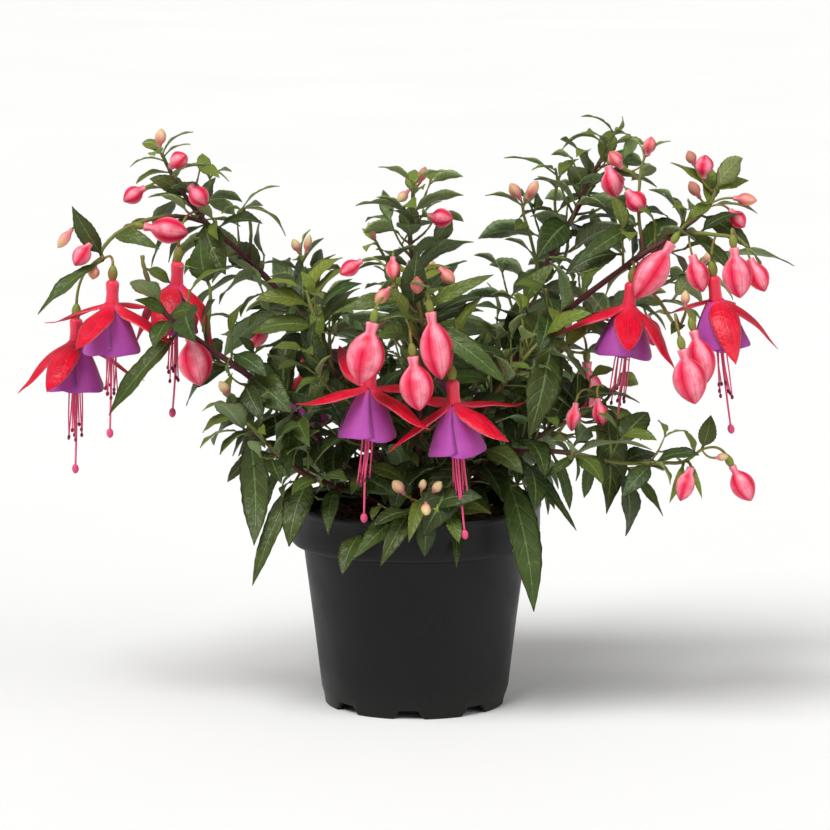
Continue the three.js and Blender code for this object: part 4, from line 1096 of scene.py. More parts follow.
PLAN = [
    Branch("left_arch", [
        Stem([(0, 0, 89), (-19, -12, 106), (-36, -22, 122), (-56, -32, 142), (-77, -38, 162),
              (-96, -40, 176), (-112, -40, 188), (-120, -38, 199), (-125, -36, 212), (-126, -35, 218)],
             (2.3, 1), (7, 2, 42, 20), 20,
             own=[(4, (-56, -60, 148), 17, 4), (3, (-58, -56, 117), 12, 5), (2.4, (-42, -58, 119), 9, 5),
                  (5.7, (-142, -44, 144), 11, 3), (6.2, (-99, -52, 195), 9, 2),
                  (6.3, (-129, -48, 199), 8, 2), (6.1, (-120, -54, 177), 11, 2),
                  (8, (-113, -30, 204), 7, 2)]),
        Stem([(-96, -40, 176), (-96, -36, 185), (-95, -33, 193), (-95, -31, 202), (-97, -30, 208)],
             (1.1, 0.8), (2, 1.6, 22, 15), 70, own=[(3.2, (-99, -34, 225), 13, 3)]),
    ]),
    Branch("upper_left", [
        Stem([(0, 0, 89), (-12, 14, 115), (-32, 24, 152), (-51, 28, 177), (-61, 28, 189),
              (-80, 26, 209), (-99, 20, 227), (-109, 14, 241), (-116, 9, 254), (-119, 7, 261)],
             (2.2, 0.9), (8, 1.4, 46, 18), 75,
             own=[(9, (-104, 10, 271), 4.5, 3), (8.8, (-105, 2, 266), 3.5, 2), (9, (-128, 6, 266), 3.5, 2),
                  (8.5, (-134, 4, 255), 3.5, 3), (7.6, (-107, -6, 257), 7.5, 1), (7.8, (-87, 4, 248), 5, 6),
                  (8, (-98, 16, 254), 4.5, 1), (6.1, (-89, 2, 204), 15, 4), (6.1, (-83, 30, 224), 5, 2)],
             buds=[(9, (-120, 6, 264), (-119, 6, 273), 3.2), (8, (-115, 4, 255), (-107, 0, 261), 5.5),
                   (7.3, (-106, 6, 246), (-98, 2, 237), 6), (7.6, (-127, 6, 245), (-137, 2, 239), 5)]),
        Stem([(-99, 20, 227), (-111, 10, 231), (-123, 0, 231), (-134, -8, 228), (-141, -14, 224),
              (-146, -18, 218), (-145, -20, 214)],
             (1.3, 1), (2, 1.6, 22, 16), 10,
             own=[(6, (-175, -34, 190), 9, 3), (5.7, (-159, -26, 240), 10, 2), (4, (-118, -30, 220), 8, 6)],
             buds=[(5.5, (-151, -22, 222), (-158, -26, 212), 5.5),
                   (5, (-159, -24, 229), (-166, -24, 220), 3.2),
                   (6, (-149, -20, 212), (-150, -22, 205), 3.4)]),
        Stem([(-79, 26, 208), (-78, 24, 222), (-79, 22, 229), (-82, 21, 234)],
             (1, 0.7), (1, 2, 14, 14), 60,
             own=[(3, (-64, 24, 244), 5, 3), (3, (-61, 14, 221), 6, 5), (2.8, (-92, 20, 231), 6, 2)]),
        Stem([(-59, 28, 188), (-54, 24, 203), (-54, 22, 209)],
             (1, 0.7), (2, 1, 20, 15), 0,
             buds=[(2, (-55, 22, 212), (-58, 22, 219), 2.6), (2, (-52, 22, 212), (-50, 22, 221), 2.4)]),
    ]),
    Branch("low_left", [
        Stem([(-3, -6, 89), (-17, -20, 99), (-36, -34, 109), (-53, -44, 118), (-65, -50, 129),
              (-75, -52, 140), (-82, -52, 146), (-86, -50, 152)],
             (1.7, 0.8), (6, 1.8, 34, 16), 40,
             own=[(5.3, (-74, -66, 87), 14.5, -6), (3, (-75, -66, 68), 9, 4), (2.7, (-58, -64, 86), 14, 6),
                  (3.6, (-71, -40, 96), 6, 3), (2, (-40, -60, 91), 9, 5)],
             buds=[(7, (-85, -52, 155), (-90, -54, 162), 2.8)]),
    ]),
    Branch("left_front", [
        Stem([(-2, -8, 90), (-12, -26, 112), (-23, -38, 134), (-31, -44, 152), (-39, -47, 169),
              (-44, -47, 185), (-48, -46, 196), (-50, -45, 203)],
             (1.8, 0.8), (7, 1.2, 42, 20), 15, own=[(4, (-49, -66, 148), 8, 3)]),
    ]),
    Branch("right_arch", [
        Stem([(1, -2, 89), (8, -6, 101), (16, -10, 114), (31, -18, 145), (39, -20, 156), (52, -24, 174),
              (69, -28, 190), (98, -32, 213), (119, -34, 227), (130, -32, 235), (137, -28, 242),
              (139, -26, 248)],
             (2.4, 1), (8, 2.2, 44, 22), 35,
             own=[(9.2, (155, -36, 221), 12, 3), (8.4, (147, -52, 209), 10, 3), (10, (125, -44, 235), 6, 2),
                  (10.8, (152, -22, 262), 5, 3), (10.6, (118, -24, 260), 5.5, 3),
                  (10.8, (155, -20, 251), 6, 3)],
             buds=[(10.8, (133, -28, 253), (134, -30, 264), 5.5), (10.6, (129, -30, 259), (126, -30, 266), 3),
                   (10, (131, -38, 245), (126, -42, 253), 3.2), (9.6, (147, -30, 244), (158, -32, 243), 3.6),
                   (9.4, (145, -34, 239), (152, -36, 231), 4.8)]),
        Stem([(106, -32, 219), (104, -26, 232), (104, -20, 244), (105, -16, 255), (107, -14, 262)],
             (1.1, 0.7), (3, 1.4, 22, 14), 20, own=[(1, (72, -52, 215), 9, 5)],
             buds=[(2.6, (90, -10, 257), (94, -12, 242), 6.5), (2, (98, -26, 247), (106, -30, 238), 6),
                   (4, (108, -14, 262), (110, -14, 271), 4), (3.4, (96, -20, 257), (90, -24, 265), 4)]),
        Stem([(119, -34, 227), (128, -42, 229), (138, -48, 229), (147, -52, 228), (152, -54, 224)],
             (1.2, 0.9), (2, 1.2, 20, 14), 60,
             buds=[(0.8, (127, -50, 220), (132, -52, 203), 6.4), (4, (153, -56, 219), (160, -58, 204), 6)]),
        Stem([(98, -32, 213), (105, -38, 206), (113, -42, 197), (119, -46, 188), (122, -50, 188),
              (124, -52, 193)],
             (1.1, 0.8), (1, 4, 16, 14), 10,
             buds=[(5, (124, -52, 196), (124, -52, 204), 2.6)]),
    ]),
    Branch("upper_right", [
        Stem([(-1, 4, 88), (13, 20, 118), (32, 34, 152), (52, 42, 184), (68, 45, 213), (78, 45, 231),
              (83, 44, 244), (88, 42, 253), (92, 40, 261), (95, 38, 268)],
             (2.1, 0.8), (9, 1.4, 46, 18), 50,
             own=[(9, (79, 36, 276), 6, 3), (9, (99, 40, 276), 5, 2), (8, (70, 44, 259), 6, 7)]),
        Stem([(69, 45, 215), (68, 44, 225), (67, 42, 235), (68, 40, 245), (67, 39, 251)],
             (1, 0.7), (3, 1.4, 24, 14), 30, own=[(3.5, (42, 38, 256), 6, 3)]),
        Stem([(48, 41, 179), (57, 34, 188), (59, 28, 200), (56, 24, 215), (52, 22, 229), (51, 21, 235)],
             (1.1, 0.8), (4, 1.4, 28, 16), 80,
             buds=[(5, (50, 20, 238), (45, 16, 246), 3.4), (5, (53, 20, 238), (58, 18, 247), 3.4)]),
    ]),
    Branch("centre", [
        Stem([(-1, 6, 88), (-2, 14, 119), (-2, 18, 147), (-1, 18, 175), (1, 16, 197), (-2, 12, 215),
              (-2, 9, 230), (-1, 7, 241), (-1, 6, 248)],
             (1.9, 0.8), (9, 1, 48, 17), 5,
             buds=[(7, (-3, 4, 244), (-8, 0, 239), 2.8), (7.6, (2, 6, 247), (5, 6, 255), 2.8),
                   (6, (6, 1, 232), (18, -2, 231), 5.5)]),
        Stem([(0, 17, 186), (-8, 12, 200), (-15, 8, 213), (-18, 6, 219)],
             (1, 0.7), (2, 1.6, 22, 15), 40, buds=[(3, (-19, 4, 221), (-22, 4, 229), 2.2)]),
    ]),
    Branch("front", [
        Stem([(1, -6, 89), (1, -24, 108), (2, -44, 133), (3, -58, 157), (4, -66, 176), (3, -70, 192),
              (1, -70, 203), (1, -69, 210)],
             (2, 1), (7, 1, 42, 18), 25,
             own=[(5, (42, -86, 165), 11, 6), (5.4, (36, -74, 214), 7, 3), (6, (-38, -76, 196), 8, 5)],
             buds=[(7, (-3, -66, 218), (-3, -70, 211), 2.8), (6.2, (1, -78, 214), (1, -82, 206), 3.8),
                   (6, (11, -66, 216), (18, -68, 209), 3.6)]),
        Stem([(4, -67, 178), (-2, -74, 192), (-6, -77, 201), (-9, -77, 208)],
             (1.2, 0.8), (1, 2.4, 20, 18), 50,
             buds=[(3, (-24, -72, 220), (-34, -74, 214), 4.4), (3, (-10, -74, 222), (-10, -78, 212), 4),
                   (2.4, (-11, -82, 209), (-18, -84, 202), 3.6)]),
    ]),
    Branch("low_front", [
        Stem([(-1, -14, 90), (-3, -34, 96), (-1, -50, 103), (2, -60, 107), (5, -64, 110)],
             (1.6, 0.8), (2, 1.4, 22, 14), 10,
             own=[(1.4, (-29, -74, 82), 12, 6), (2.5, (-16, -80, 80), 10, 6), (3.4, (-3, -84, 92), 7, 5)],
             buds=[(3, (-5, -62, 111), (-10, -68, 118), 3.2), (3.6, (3, -66, 113), (4, -70, 119), 2.2),
                   (3.8, (8, -66, 112), (12, -70, 118), 2.8), (4, (5, -70, 108), (5, -78, 104), 2.8)]),
    ]),
    Branch("right_spray", [
        Stem([(5, -8, 91), (21, -24, 110), (40, -36, 126), (63, -46, 128), (80, -54, 127), (95, -60, 125),
              (113, -66, 126), (123, -68, 127), (131, -70, 133)],
             (1.6, 0.8), (1, 2.2, 22, 18), 0,
             own=[(5, (114, -66, 101), 6, 3), (2.2, (75, -50, 91), 6, 4), (3, (72, -40, 99), 6, 3),
                  (3.7, (59, -62, 118), 5, 2), (4, (78, -52, 107), 6, 2), (5.2, (116, -60, 121), 4, 4),
                  (8, (135, -70, 149), 8.5, 2), (7.6, (122, -76, 143), 4, 2), (7, (116, -76, 109), 4, 3),
                  (7.2, (131, -76, 111), 3, 1)],
             buds=[(7, (126, -72, 125), (121, -76, 110), 5.6), (8, (137, -70, 129), (143, -72, 130), 2.2)]),
    ]),
    Branch("low_right", [
        Stem([(3, -8, 90), (17, -20, 102), (35, -30, 117), (51, -36, 129), (65, -38, 138), (77, -38, 144),
              (88, -36, 150), (93, -34, 157)],
             (1.8, 0.8), (6, 1.6, 40, 20), 65,
             own=[(2.3, (55, -58, 54), 15.5, 9), (1, (19, -68, 77), 8, 5), (1.3, (35, -50, 99), 8, 4),
                  (6, (88, -62, 101), 18, 6)],
             buds=[(6, (74, -54, 152), (72, -56, 139), 4.4), (6.6, (84, -54, 154), (86, -56, 141), 4.4)]),
    ]),
    Branch("right_front", [
        Stem([(3, -10, 90), (13, -30, 112), (24, -42, 134), (35, -48, 152), (47, -50, 168), (58, -48, 180),
              (65, -44, 186)],
             (1.8, 0.8), (7, 1, 44, 24), 30, own=[(5.8, (52, -62, 136), 17, 5)]),
    ]),
    Branch("back_left", [
        Stem([(-3, 8, 88), (-17, 34, 112), (-33, 52, 138), (-48, 64, 160), (-60, 71, 174), (-68, 72, 183)],
             (1.9, 0.8), (6, 1, 44, 18), 20,
             buds=[(4.6, (-72, 68, 174), (-80, 66, 160), 6), (5, (-68, 76, 186), (-66, 82, 192), 2.6)]),
    ]),
    Branch("back_right", [
        Stem([(3, 8, 88), (21, 38, 110), (45, 56, 135), (71, 64, 159), (98, 66, 179), (122, 62, 193),
              (136, 58, 199)],
             (2, 0.8), (7, 1, 46, 22), 55, own=[(6, (183, 44, 203), 15, 8)],
             buds=[(4.4, (112, 56, 178), (116, 54, 163), 6), (6, (139, 56, 203), (144, 54, 209), 2.6)]),
    ]),
    Branch("back_centre", [
        Stem([(0, 12, 87), (2, 36, 108), (7, 52, 135), (10, 62, 161), (12, 67, 181), (12, 68, 193)],
             (1.9, 0.8), (6, 1, 44, 18), 5,
             buds=[(4.4, (0, 72, 176), (-6, 72, 161), 6), (5, (10, 71, 197), (6, 73, 203), 2.8)]),
    ]),
    Branch("back_low_left", [
        Stem([(-4, 8, 88), (-18, 36, 96), (-32, 58, 104), (-46, 70, 110), (-57, 77, 112)],
             (1.6, 0.8), (5, 1.5, 34, 16), 15),
    ]),
    Branch("back_low_right", [
        Stem([(5, 8, 88), (21, 36, 98), (38, 58, 107), (56, 70, 113), (70, 76, 114)],
             (1.6, 0.8), (5, 1.5, 34, 16), 70),
    ]),
]

FLOWERS = [
    Flower("left_inner", ("upper_left", 0, 5.9), (-140, -32, 206), (-141, -32, 172),
           [(-25, 58), (65, 60), (150, 78), (-115, 66)]),
    Flower("left_outer", ("upper_left", 0, 5.6), (-159, -8, 185), (-160, -8, 150),
           [(-72, 43), (-20, 52), (98, 55), (180, 72)]),
    Flower("centre_left", ("front", 0, 1.6), (-20, -66, 172), (-22, -66, 139),
           [(-62, 74), (-155, 110), (55, 62), (125, 85)]),
    Flower("centre_right", ("front", -1, 5.2), (17, -70, 165), (20, -70, 125),
           [(-80, 56), (43, 60), (118, 79), (-150, 88)]),
    Flower("right_inner", ("right_arch", -1, 7.1), (100, -40, 206), (96, -40, 172),
           [(-80, 60), (0, 60), (62, 42), (-150, 66)]),
    Flower("right_outer", ("right_arch", 1, 2), (137, -48, 210), (141, -48, 175),
           [(12, 34), (80, 42), (-138, 74), (170, 70)]),
    Flower("left_shy", ("upper_left", -1, 6.4), (-111, -10, 212), (-113, -10, 177),
           [(-20, 28), (70, 30), (160, 32), (-110, 28)], fullness=0.8),
    Flower("back_left", ("back_left", -1, 4.2), (-54, 73, 156), (-54, 73, 121),
           [(-45, 66), (45, 60), (135, 50), (-135, 62)]),
    Flower("back_centre", ("back_centre", -1, 4.8), (21, 75, 172), (22, 75, 137),
           [(-60, 70), (30, 76), (120, 60), (-150, 52)]),
]

BUDS = [
    Bud("centre_left", ("front", 0, 2.5), (-19, -88, 194), (-25, -88, 166), 8.8),
    Bud("centre_right", ("front", -1, 6), (7, -82, 198), (12, -82, 167), 7.6),
    Bud("centre_low", ("front", 0, 1.2), (-1, -84, 178), (2, -84, 153), 7.8),
    Bud("left_level", ("upper_left", 0, 3.4), (-127, -6, 228), (-106, -8, 225), 6.3),
    Bud("left_low", ("left_arch", -1, 5.5), (-104, -46, 183), (-99, -48, 159), 8),
    Bud("right_high", ("right_arch", -1, 9), (118, -46, 225), (101, -50, 200), 7.6),
    Bud("right_outer", ("right_arch", 1, 3), (145, -64, 225), (148, -66, 202), 7),
    Bud("right_low", ("right_arch", 2, 3.8), (121, -82, 181), (127, -84, 156), 7.8),
    Bud("right_mid", ("right_arch", 2, 4.6), (127, -64, 187), (133, -68, 163), 6.8),
    Bud("spray", ("right_spray", -1, 8), (145, -68, 125), (154, -70, 109), 5.6),
    Bud("back_right", ("back_right", -1, 3.4), (84, 70, 153), (85, 71, 127), 7.5),
]


def number_stems() -> None:
    """Gives each stem its own number, in the plan's order."""
    for row, stem in enumerate((stem for branch in PLAN for stem in branch.stems), start=1):
        stem.row = row


def stem_named(on: Carrier) -> Stem:
    """The stem that a flower or bud names: a branch's main stem for -1, or one of its twigs."""
    branch = next(branch for branch in PLAN if branch.name == on[0])
    return branch.stems[on[1] + 1]


@dataclass
class Spacing:
    """Keeps leaves off the flowers, the large buds, the pot and one another.

    Attributes:
        between: Leaves whose middles come closer than this are left out.
        flower_room: How far leaves keep from the middle line of a flower.
        shoot_relief: How much closer the leaves of a shoot may come to it.
        bud_room: How far leaves keep from a large bud's skin.
        sight: Scale of the distance in front of a flower or bud, for the leaves of shoots.
        pot_room: Radius and height of the space that the pot takes up.
        low: Lowest corner of the box that shoots stay in.
        high: Highest corner of it.
        marks: Points of the leaves that are kept.
    """

    between: float = 5.3
    flower_room: float = 19.0
    shoot_relief: float = 3.0
    bud_room: float = 6.0
    sight: float = 0.3
    pot_room: tuple[float, float] = (63.0, 99.0)
    low: Point = (-180.0, -93.0, 60.0)
    high: Point = (179.0, 97.0, 272.0)
    marks: list[Array] = field(default_factory=list)

    def nearness(self, marks: Array, spot: Array, shoot: bool) -> float:
        """The least distance to a spot. For a shoot's leaf, what lies in front of it counts as closer."""
        off = marks - spot
        if shoot:
            off = off * np.where(off[:, 1:2] < 0, [1, self.sight, 1], [1, 1, 1])
        return np.min(np.linalg.norm(off, axis=1))

    def hides_bloom(self, marks: Array, shoot: bool) -> bool:
        """Whether a leaf with these marks comes too close to a flower or a large bud."""
        for flower in FLOWERS:
            top, hem = place_at(flower.top), place_at(flower.hem)
            share = np.clip((marks - top) @ (hem - top) / np.sum((hem - top) ** 2), 0, 1)[:, None]
            room = self.flower_room - self.shoot_relief * shoot
            if self.nearness(marks, top + (hem - top) * share, shoot) < room:
                return True
        for bud in BUDS:
            middle = place_at(bud.top) + (place_at(bud.tip) - place_at(bud.top)) * 0.6
            if self.nearness(marks, middle, shoot) < bud.radius + self.bud_room:
                return True
        return False

    def has_room(self, leaf: Leaf, shoot: bool = False) -> bool:
        """Whether the leaf has room. A leaf with a place of its own always has.

        Args:
            leaf: The leaf, which is marked as taken if it has room.
            shoot: Whether it grows on a side shoot, which may not hide a flower or leave the plant's box.

        Returns:
            Whether to keep it.
        """
        marks = leaf.base + (leaf.tip - leaf.base) * np.array([0.4, 0.6, 0.8, 1.0])[:, None]
        if not leaf.own:
            radius, height = self.pot_room
            if self.hides_bloom(marks, shoot):
                return False
            if shoot and (np.any(marks < self.low) or np.any(marks > self.high)):
                return False
            if np.any((np.hypot(marks[:, 0], marks[:, 1]) < radius) & (marks[:, 2] < height)):
                return False
            if self.marks:
                apart = np.linalg.norm(np.concatenate(self.marks)[:, None] - marks[None], axis=2)
                if np.min(apart) < self.between:
                    return False
        self.marks.append(marks)
        return True


# ---- leaves, stems and small buds


@dataclass
class LeafShape:
    """How every leaf blade is shaped.

    Attributes:
        rings: Stations along the leaf.
        stalk: Share of the length that is stalk.
        stalk_width: Width of the stalk.
        thickness: Thickness at the midrib.
        fold: How far the halves fold up from the midrib, as a share of the width.
        teeth: How far the shallow teeth stand out from the margin, as a share of the width.
    """

    rings: int = 22
    stalk: float = 0.11
    stalk_width: float = 1.2
    thickness: float = 0.4
    fold: float = 0.16
    teeth: float = 0.03

    ACROSS = (-1, -0.72, -0.36, 0, 0.36, 0.72, 1, 0.6, 0, -0.6)
    UNDER = (0, 0, 0, 0, 0, 0, 0, 1, 1, 1)
    SLOTS = (0, 0, 0, 0, 0, 0, 1, 1, 1, 1)

    def outline(self, s: Array) -> Array:
        """Half-width as a share of the widest: q^0.75 × (1 − q)^1.1 past the stalk, scaled to peak at one."""
        q = np.clip((s - self.stalk) / (1 - self.stalk), 0, 1)
        peak = (0.75 / 1.85) ** 0.75 * (1.1 / 1.85) ** 1.1
        return q**0.75 * (1 - q) ** 1.1 / peak

    def stations(self) -> Array:
        """Where the rings are, from the stalk's foot at 0 to the leaf's tip at 1."""
        return np.concatenate([[0, 0.06, 0.11], np.linspace(0.14, 0.95, self.rings - 4), [0.99]])

    def rings_of(self, leaves: list[Leaf]) -> Array:
        """Rings for many leaves at once.

        The midrib is the quadratic curve from foot to tip that bows by the leaf's rise. At each station the
        blade runs across it by half-width × t for t from -1 to 1, lifts by the fold × |t|^1.4, ripples near
        its margins, and turns slowly about the midrib towards the tip. The underside is the same, a little
        lower.

        Args:
            leaves: The leaves to shape.

        Returns:
            Rings as (leaf, station, place round, coordinate).
        """
        base, tip = (np.array([getattr(leaf, end) for leaf in leaves])[:, None] for end in ("base", "tip"))
        width, rise, roll, number = (
            np.array([getattr(leaf, size) for leaf in leaves])[:, None]
            for size in ("width", "rise", "roll", "number")
        )
        s = self.stations()[None]
        at = s[..., None]
        chord = unit(tip - base)
        shown = np.array([leaf.own and leaf.base[1] < 0 for leaf in leaves])[:, None, None]
        outward = unit(base * [1, 1, 0]) * 0.6 + UP - shown * np.array([0, 1.0, 0])
        face = square_to(outward, chord)
        control = (base + tip) / 2 + face * 2 * rise[..., None]
        middle = base * (1 - at) ** 2 + 2 * control * at * (1 - at) + tip * at**2
        slope = unit(2 * (control - base) * (1 - at) + 2 * (tip - control) * at)
        over = turned_about(face, chord, roll)
        over = square_to(np.broadcast_to(over, slope.shape), slope)
        over = turned_about(over, slope, (number - 0.5) * 1.1 * s**1.5)
        sideways = np.cross(slope, over)
        length = np.linalg.norm(tip - base, axis=-1)[..., None]
        teeth = 1 + self.teeth * np.where(np.arange(s.shape[1]) % 2, 1, -1)[None] * smooth_step(0.2, 0.3, s)
        stalk = self.stalk_width / 2 * (1 - smooth_step(0.1, 0.3, s)) + 0.12
        half = np.maximum(width / 2 * self.outline(s) * teeth, stalk)[..., None]
        t, under = np.array(self.ACROSS)[None, None], np.array(self.UNDER)[None, None]
        blade = smooth_step(0.08, 0.25, at)
        fold = self.fold * (0.4 + 1.2 * np.modf(number * 7.3)[0])[..., None]
        wave = np.sin(2 * math.pi * (2.1 * at + number[..., None]) + 1.7 * t)
        ripple = wave * 0.022 * np.minimum(length, 45)
        lift = (fold * np.abs(t) ** 1.4 * half + ripple * t**2 * self.outline(at)) * blade
        lift = lift - under * (self.thickness * (1.25 - t**2) * (1.3 - 0.8 * at) + 0.12)
        reach = half * t * (1 - 0.5 * fold**2 * t**2)
        away = sideways[:, :, None] * reach[..., None]
        return middle[:, :, None] + away + over[:, :, None] * lift[..., None]

    def skin(self, leaves: list[Leaf]) -> Skin:
        """All the leaves as one skin, with the upper side in slot 0 and the underside in slot 1."""
        growth = np.array([[leaf.age, leaf.number, 0.0] for leaf in leaves])
        across = (np.array((*self.ACROSS, -1)) + 1) / 2
        return skin_of(self.rings_of(leaves), growth, across, self.stations(), self.SLOTS)


@dataclass
class BudShape:
    """How every bud is shaped: a narrow tube, a balloon with four seams, and a point.

    Attributes:
        stations: Rings from the tube's top to the point.
        sides: Corners in each ring.
        tube: The tube's radius as a share of the balloon's.
        tube_length: The tube's length as a share of the bud's.
    """

    stations: int = 20
    sides: int = 24
    tube: float = 0.3
    tube_length: float = 0.2

    def skin(self, top: Array, tip: Array, radius: float, growth: Point) -> Skin:
        """The bud as a turned shape about the line from top to tip.

        Beyond the tube the radius is q^0.72 × (1 − q)^0.8, scaled to peak at one, and joined softly to
        the tube. Round the bud it dips at four seams.

        Args:
            top: Top of the tube.
            tip: Point of the bud.
            radius: Radius of the balloon.
            growth: Ripeness, own number and brownness.

        Returns:
            The bud's skin.
        """
        z = np.concatenate([[0.0, 0.012], np.linspace(0.05, 0.97, self.stations - 3), [0.997]])
        start = self.tube_length * 0.75
        q = np.clip((z - start) / (1 - start), 0, 1)
        peak = (0.72 / 1.52) ** 0.72 * (0.8 / 1.52) ** 0.8
        balloon = q**0.72 * (1 - q) ** 0.8 / peak
        waist = 1 + 0.12 * np.cos(z / self.tube_length * math.pi)
        neck = self.tube * (1 - smooth_step(0.5, 0.9, z)) * waist
        share = (balloon**4 + neck**4) ** 0.25
        share[0] *= 0.6
        seam = np.abs(((round_turn(self.sides) / (2 * math.pi) * 4) % 1) - 0.5) * 2
        dip = 1 - 0.09 * np.clip(seam - 0.6, 0, 1)[None] / 0.4 * smooth_step(0.15, 0.4, z)[:, None]
        rings = round_rings(top + (tip - top) * z[:, None], radius * share, self.sides, dip)
        return skin_of(rings, growth, along=z)


def stalk_skin(start: Array, end: Array, axis: Array, radius: float, number: float) -> Skin:
    """A flower's or bud's stalk: it leaves the stem and bows over until it runs along the axis at its end.

    Args:
        start: Where it leaves the stem.
        end: Where the flower or bud begins.
        axis: Direction of the flower or bud.
        radius: Radius at the start; the end is a third wider.
        number: The item's own number.

    Returns:
        The stalk's skin.
    """
    line = bent_line(start, end - axis * 0.55 * np.linalg.norm(end - start), end, 12)
    return skin_of(round_rings(line, np.linspace(radius, radius * 1.3, 12), 7), (0.5, number, 0.0))


@dataclass
class Growth:
    """Dresses the branches of the frame: stems, leaves and small buds.

    Attributes:
        palette: The finishes.
        spacing: What keeps the leaves apart.
        leaf_shape: The shape of a leaf.
        small_bud: The shape of a small bud.
        slimness: Scale of the stems' radius.
        joint: How much thicker a stem is at a pair of leaves, and over what share of a step.
        stalk_radius: Radius of a small bud's stalk.
        plumpness: Scale of the small buds' radius.
    """

    palette: Palette
    spacing: Spacing = field(default_factory=Spacing)
    leaf_shape: LeafShape = field(default_factory=LeafShape)
    small_bud: BudShape = field(default_factory=partial(BudShape, 11, 12, 0.34, 0.16))
    slimness: float = 0.88
    joint: tuple[float, float] = (0.22, 0.1)
    stalk_radius: float = 0.45
    plumpness: float = 0.85

    def stem_skin(self, stem: Stem, main: bool) -> Skin:
        """A stem: a smooth line through its route, a little thicker at each pair of leaves."""
        line = smooth_line(np.array(stem.route, dtype=float), 7)
        place = np.linspace(0, len(stem.route) - 1, len(line))
        radii = self.slimness * (stem.thick[0] + (stem.thick[1] - stem.thick[0]) * place / place[-1])
        joints = np.linspace(stem.pairs[1], len(stem.route) - stem.TIP, stem.pairs[0])
        swell, reach = self.joint
        radii = radii * (1 + swell * np.exp(-((place[:, None] - joints) / reach) ** 2).sum(axis=1))
        rings = round_rings(line, radii, 10 if main else 8)
        rings = rings + 0.12 * unit(rings - line[None, :, None]) * noise(rings, 3.0, stem.row)[..., None]
        age = float(np.clip((stem.thick[0] - 1) / 1.2, 0.15, 1))
        return skin_of(rings, (age, scatter(stem.row, 400), 0.0))

    def small_bud_skins(self, stem: Stem) -> tuple[list[Skin], list[Skin]]:
        """A stem's small buds and their stalks. The smaller a bud, the less ripe it is."""
        buds, stalks = [], []
        for item, (place, top, tip, radius) in enumerate(stem.buds):
            head, end = place_at(top), place_at(tip)
            number = scatter(stem.row, 420 + item)
            ripeness = float(np.clip((radius - 2.4) / 2.4, 0.05, 1))
            brown = 0.75 if number > 0.82 and radius < 5 else 0.0
            buds.append(self.small_bud.skin(head, end, radius * self.plumpness, (ripeness, number, brown)))
            foot, neck = stem.station(place)[0], head + 0.03 * (end - head)
            stalks.append(stalk_skin(foot, neck, unit(end - head), self.stalk_radius, number))
        return buds, stalks

    def build(self) -> None:
        """Makes the pieces of every branch: stems, leaves, and small buds with their stalks."""
        looks = self.palette
        leaves = {branch.name: [leaf for stem in branch.stems for leaf in stem.leaves()] for branch in PLAN}
        every = sorted((leaf for group in leaves.values() for leaf in group), key=lambda leaf: not leaf.own)
        chosen = {id(leaf) for leaf in every if self.spacing.has_room(leaf)}
        extra = 0
        for branch in PLAN:
            name, nodes = branch.name, (f"branch_{branch.name}",)
            blades = [leaf for leaf in leaves[branch.name] if id(leaf) in chosen]
            stems = [self.stem_skin(stem, k == 0) for k, stem in enumerate(branch.stems)]
            for shoot in branch.stems[0].shoots():
                fresh = [leaf for leaf in shoot.leaves() if self.spacing.has_room(leaf, shoot=True)]
                if fresh:
                    blades.extend(fresh)
                    stems.append(self.stem_skin(shoot, False))
                    extra += len(fresh)
            make_piece(f"{name}_stems", together(stems), looks.stem, nodes)
            make_piece(f"{name}_leaves", self.leaf_shape.skin(blades), looks.leaf, nodes)
            made = [self.small_bud_skins(stem) for stem in branch.stems if stem.buds]
            if made:
                buds, stalks = (together([skin for pair in made for skin in pair[k]]) for k in (0, 1))
                make_piece(f"{name}_small_buds", buds, looks.bud, nodes)
                make_piece(f"{name}_bud_stalks", stalks, looks.stalk, nodes)
        log.info("%d leaves of %d kept, and %d on shoots", len(chosen), len(every), extra)


# ---- flowers and large buds


def carried(on: Carrier, top: Array, axis: Array, ovary: float, radius: float, number: float) -> Skin:
    """The stalk and seed vessel that carry a flower or large bud, as one skin.

    Args:
        on: The stem and the place along it.
        top: Top of the flower's tube.
        axis: The flower's direction.
        ovary: Length of the seed vessel.
        radius: Its radius.
        number: The item's own number.

    Returns:
        Both as one skin.
    """
    neck = top - axis * ovary
    start, _, thick = stem_named(on).station(on[2])
    start = start + unit(neck - start) * thick * 0.4
    z = np.linspace(0, 1, 11)
    line = neck + axis * ovary * 1.05 * z[:, None]
    swell = 0.75 + (radius - 0.75) * np.sin(math.pi * np.clip(z * 0.92, 0, 1)) ** 0.8
    vessel = skin_of(round_rings(line, swell, 12), (0.5, number * 0.6, 0.0))
    return together([stalk_skin(start, neck + axis * 0.4, axis, 0.55, 0.3 + 0.7 * number), vessel])


@dataclass
class LargeBuds:
    """The large buds, each with its seed vessel and stalk."""

    palette: Palette
    shape: BudShape = field(default_factory=BudShape)
    ovary: float = 6.0
    ovary_radius: float = 1.9

    def build(self) -> None:
        """Makes each bud, hanging from its stalk."""
        for item, bud in enumerate(BUDS):
            top, tip = place_at(bud.top), place_at(bud.tip)
            axis, number = unit(tip - top), scatter(80, item)
            skin = self.shape.skin(top, tip, bud.radius, (1.0, number, 0.0))
            name = f"bud_{bud.name}"
            make_piece(f"{name}_balloon", skin, self.palette.bud, (name,))
            stalk = carried(bud.on, top, axis, self.ovary, self.ovary_radius, number)
            make_piece(f"{name}_stalk", stalk, self.palette.stalk, (name,))


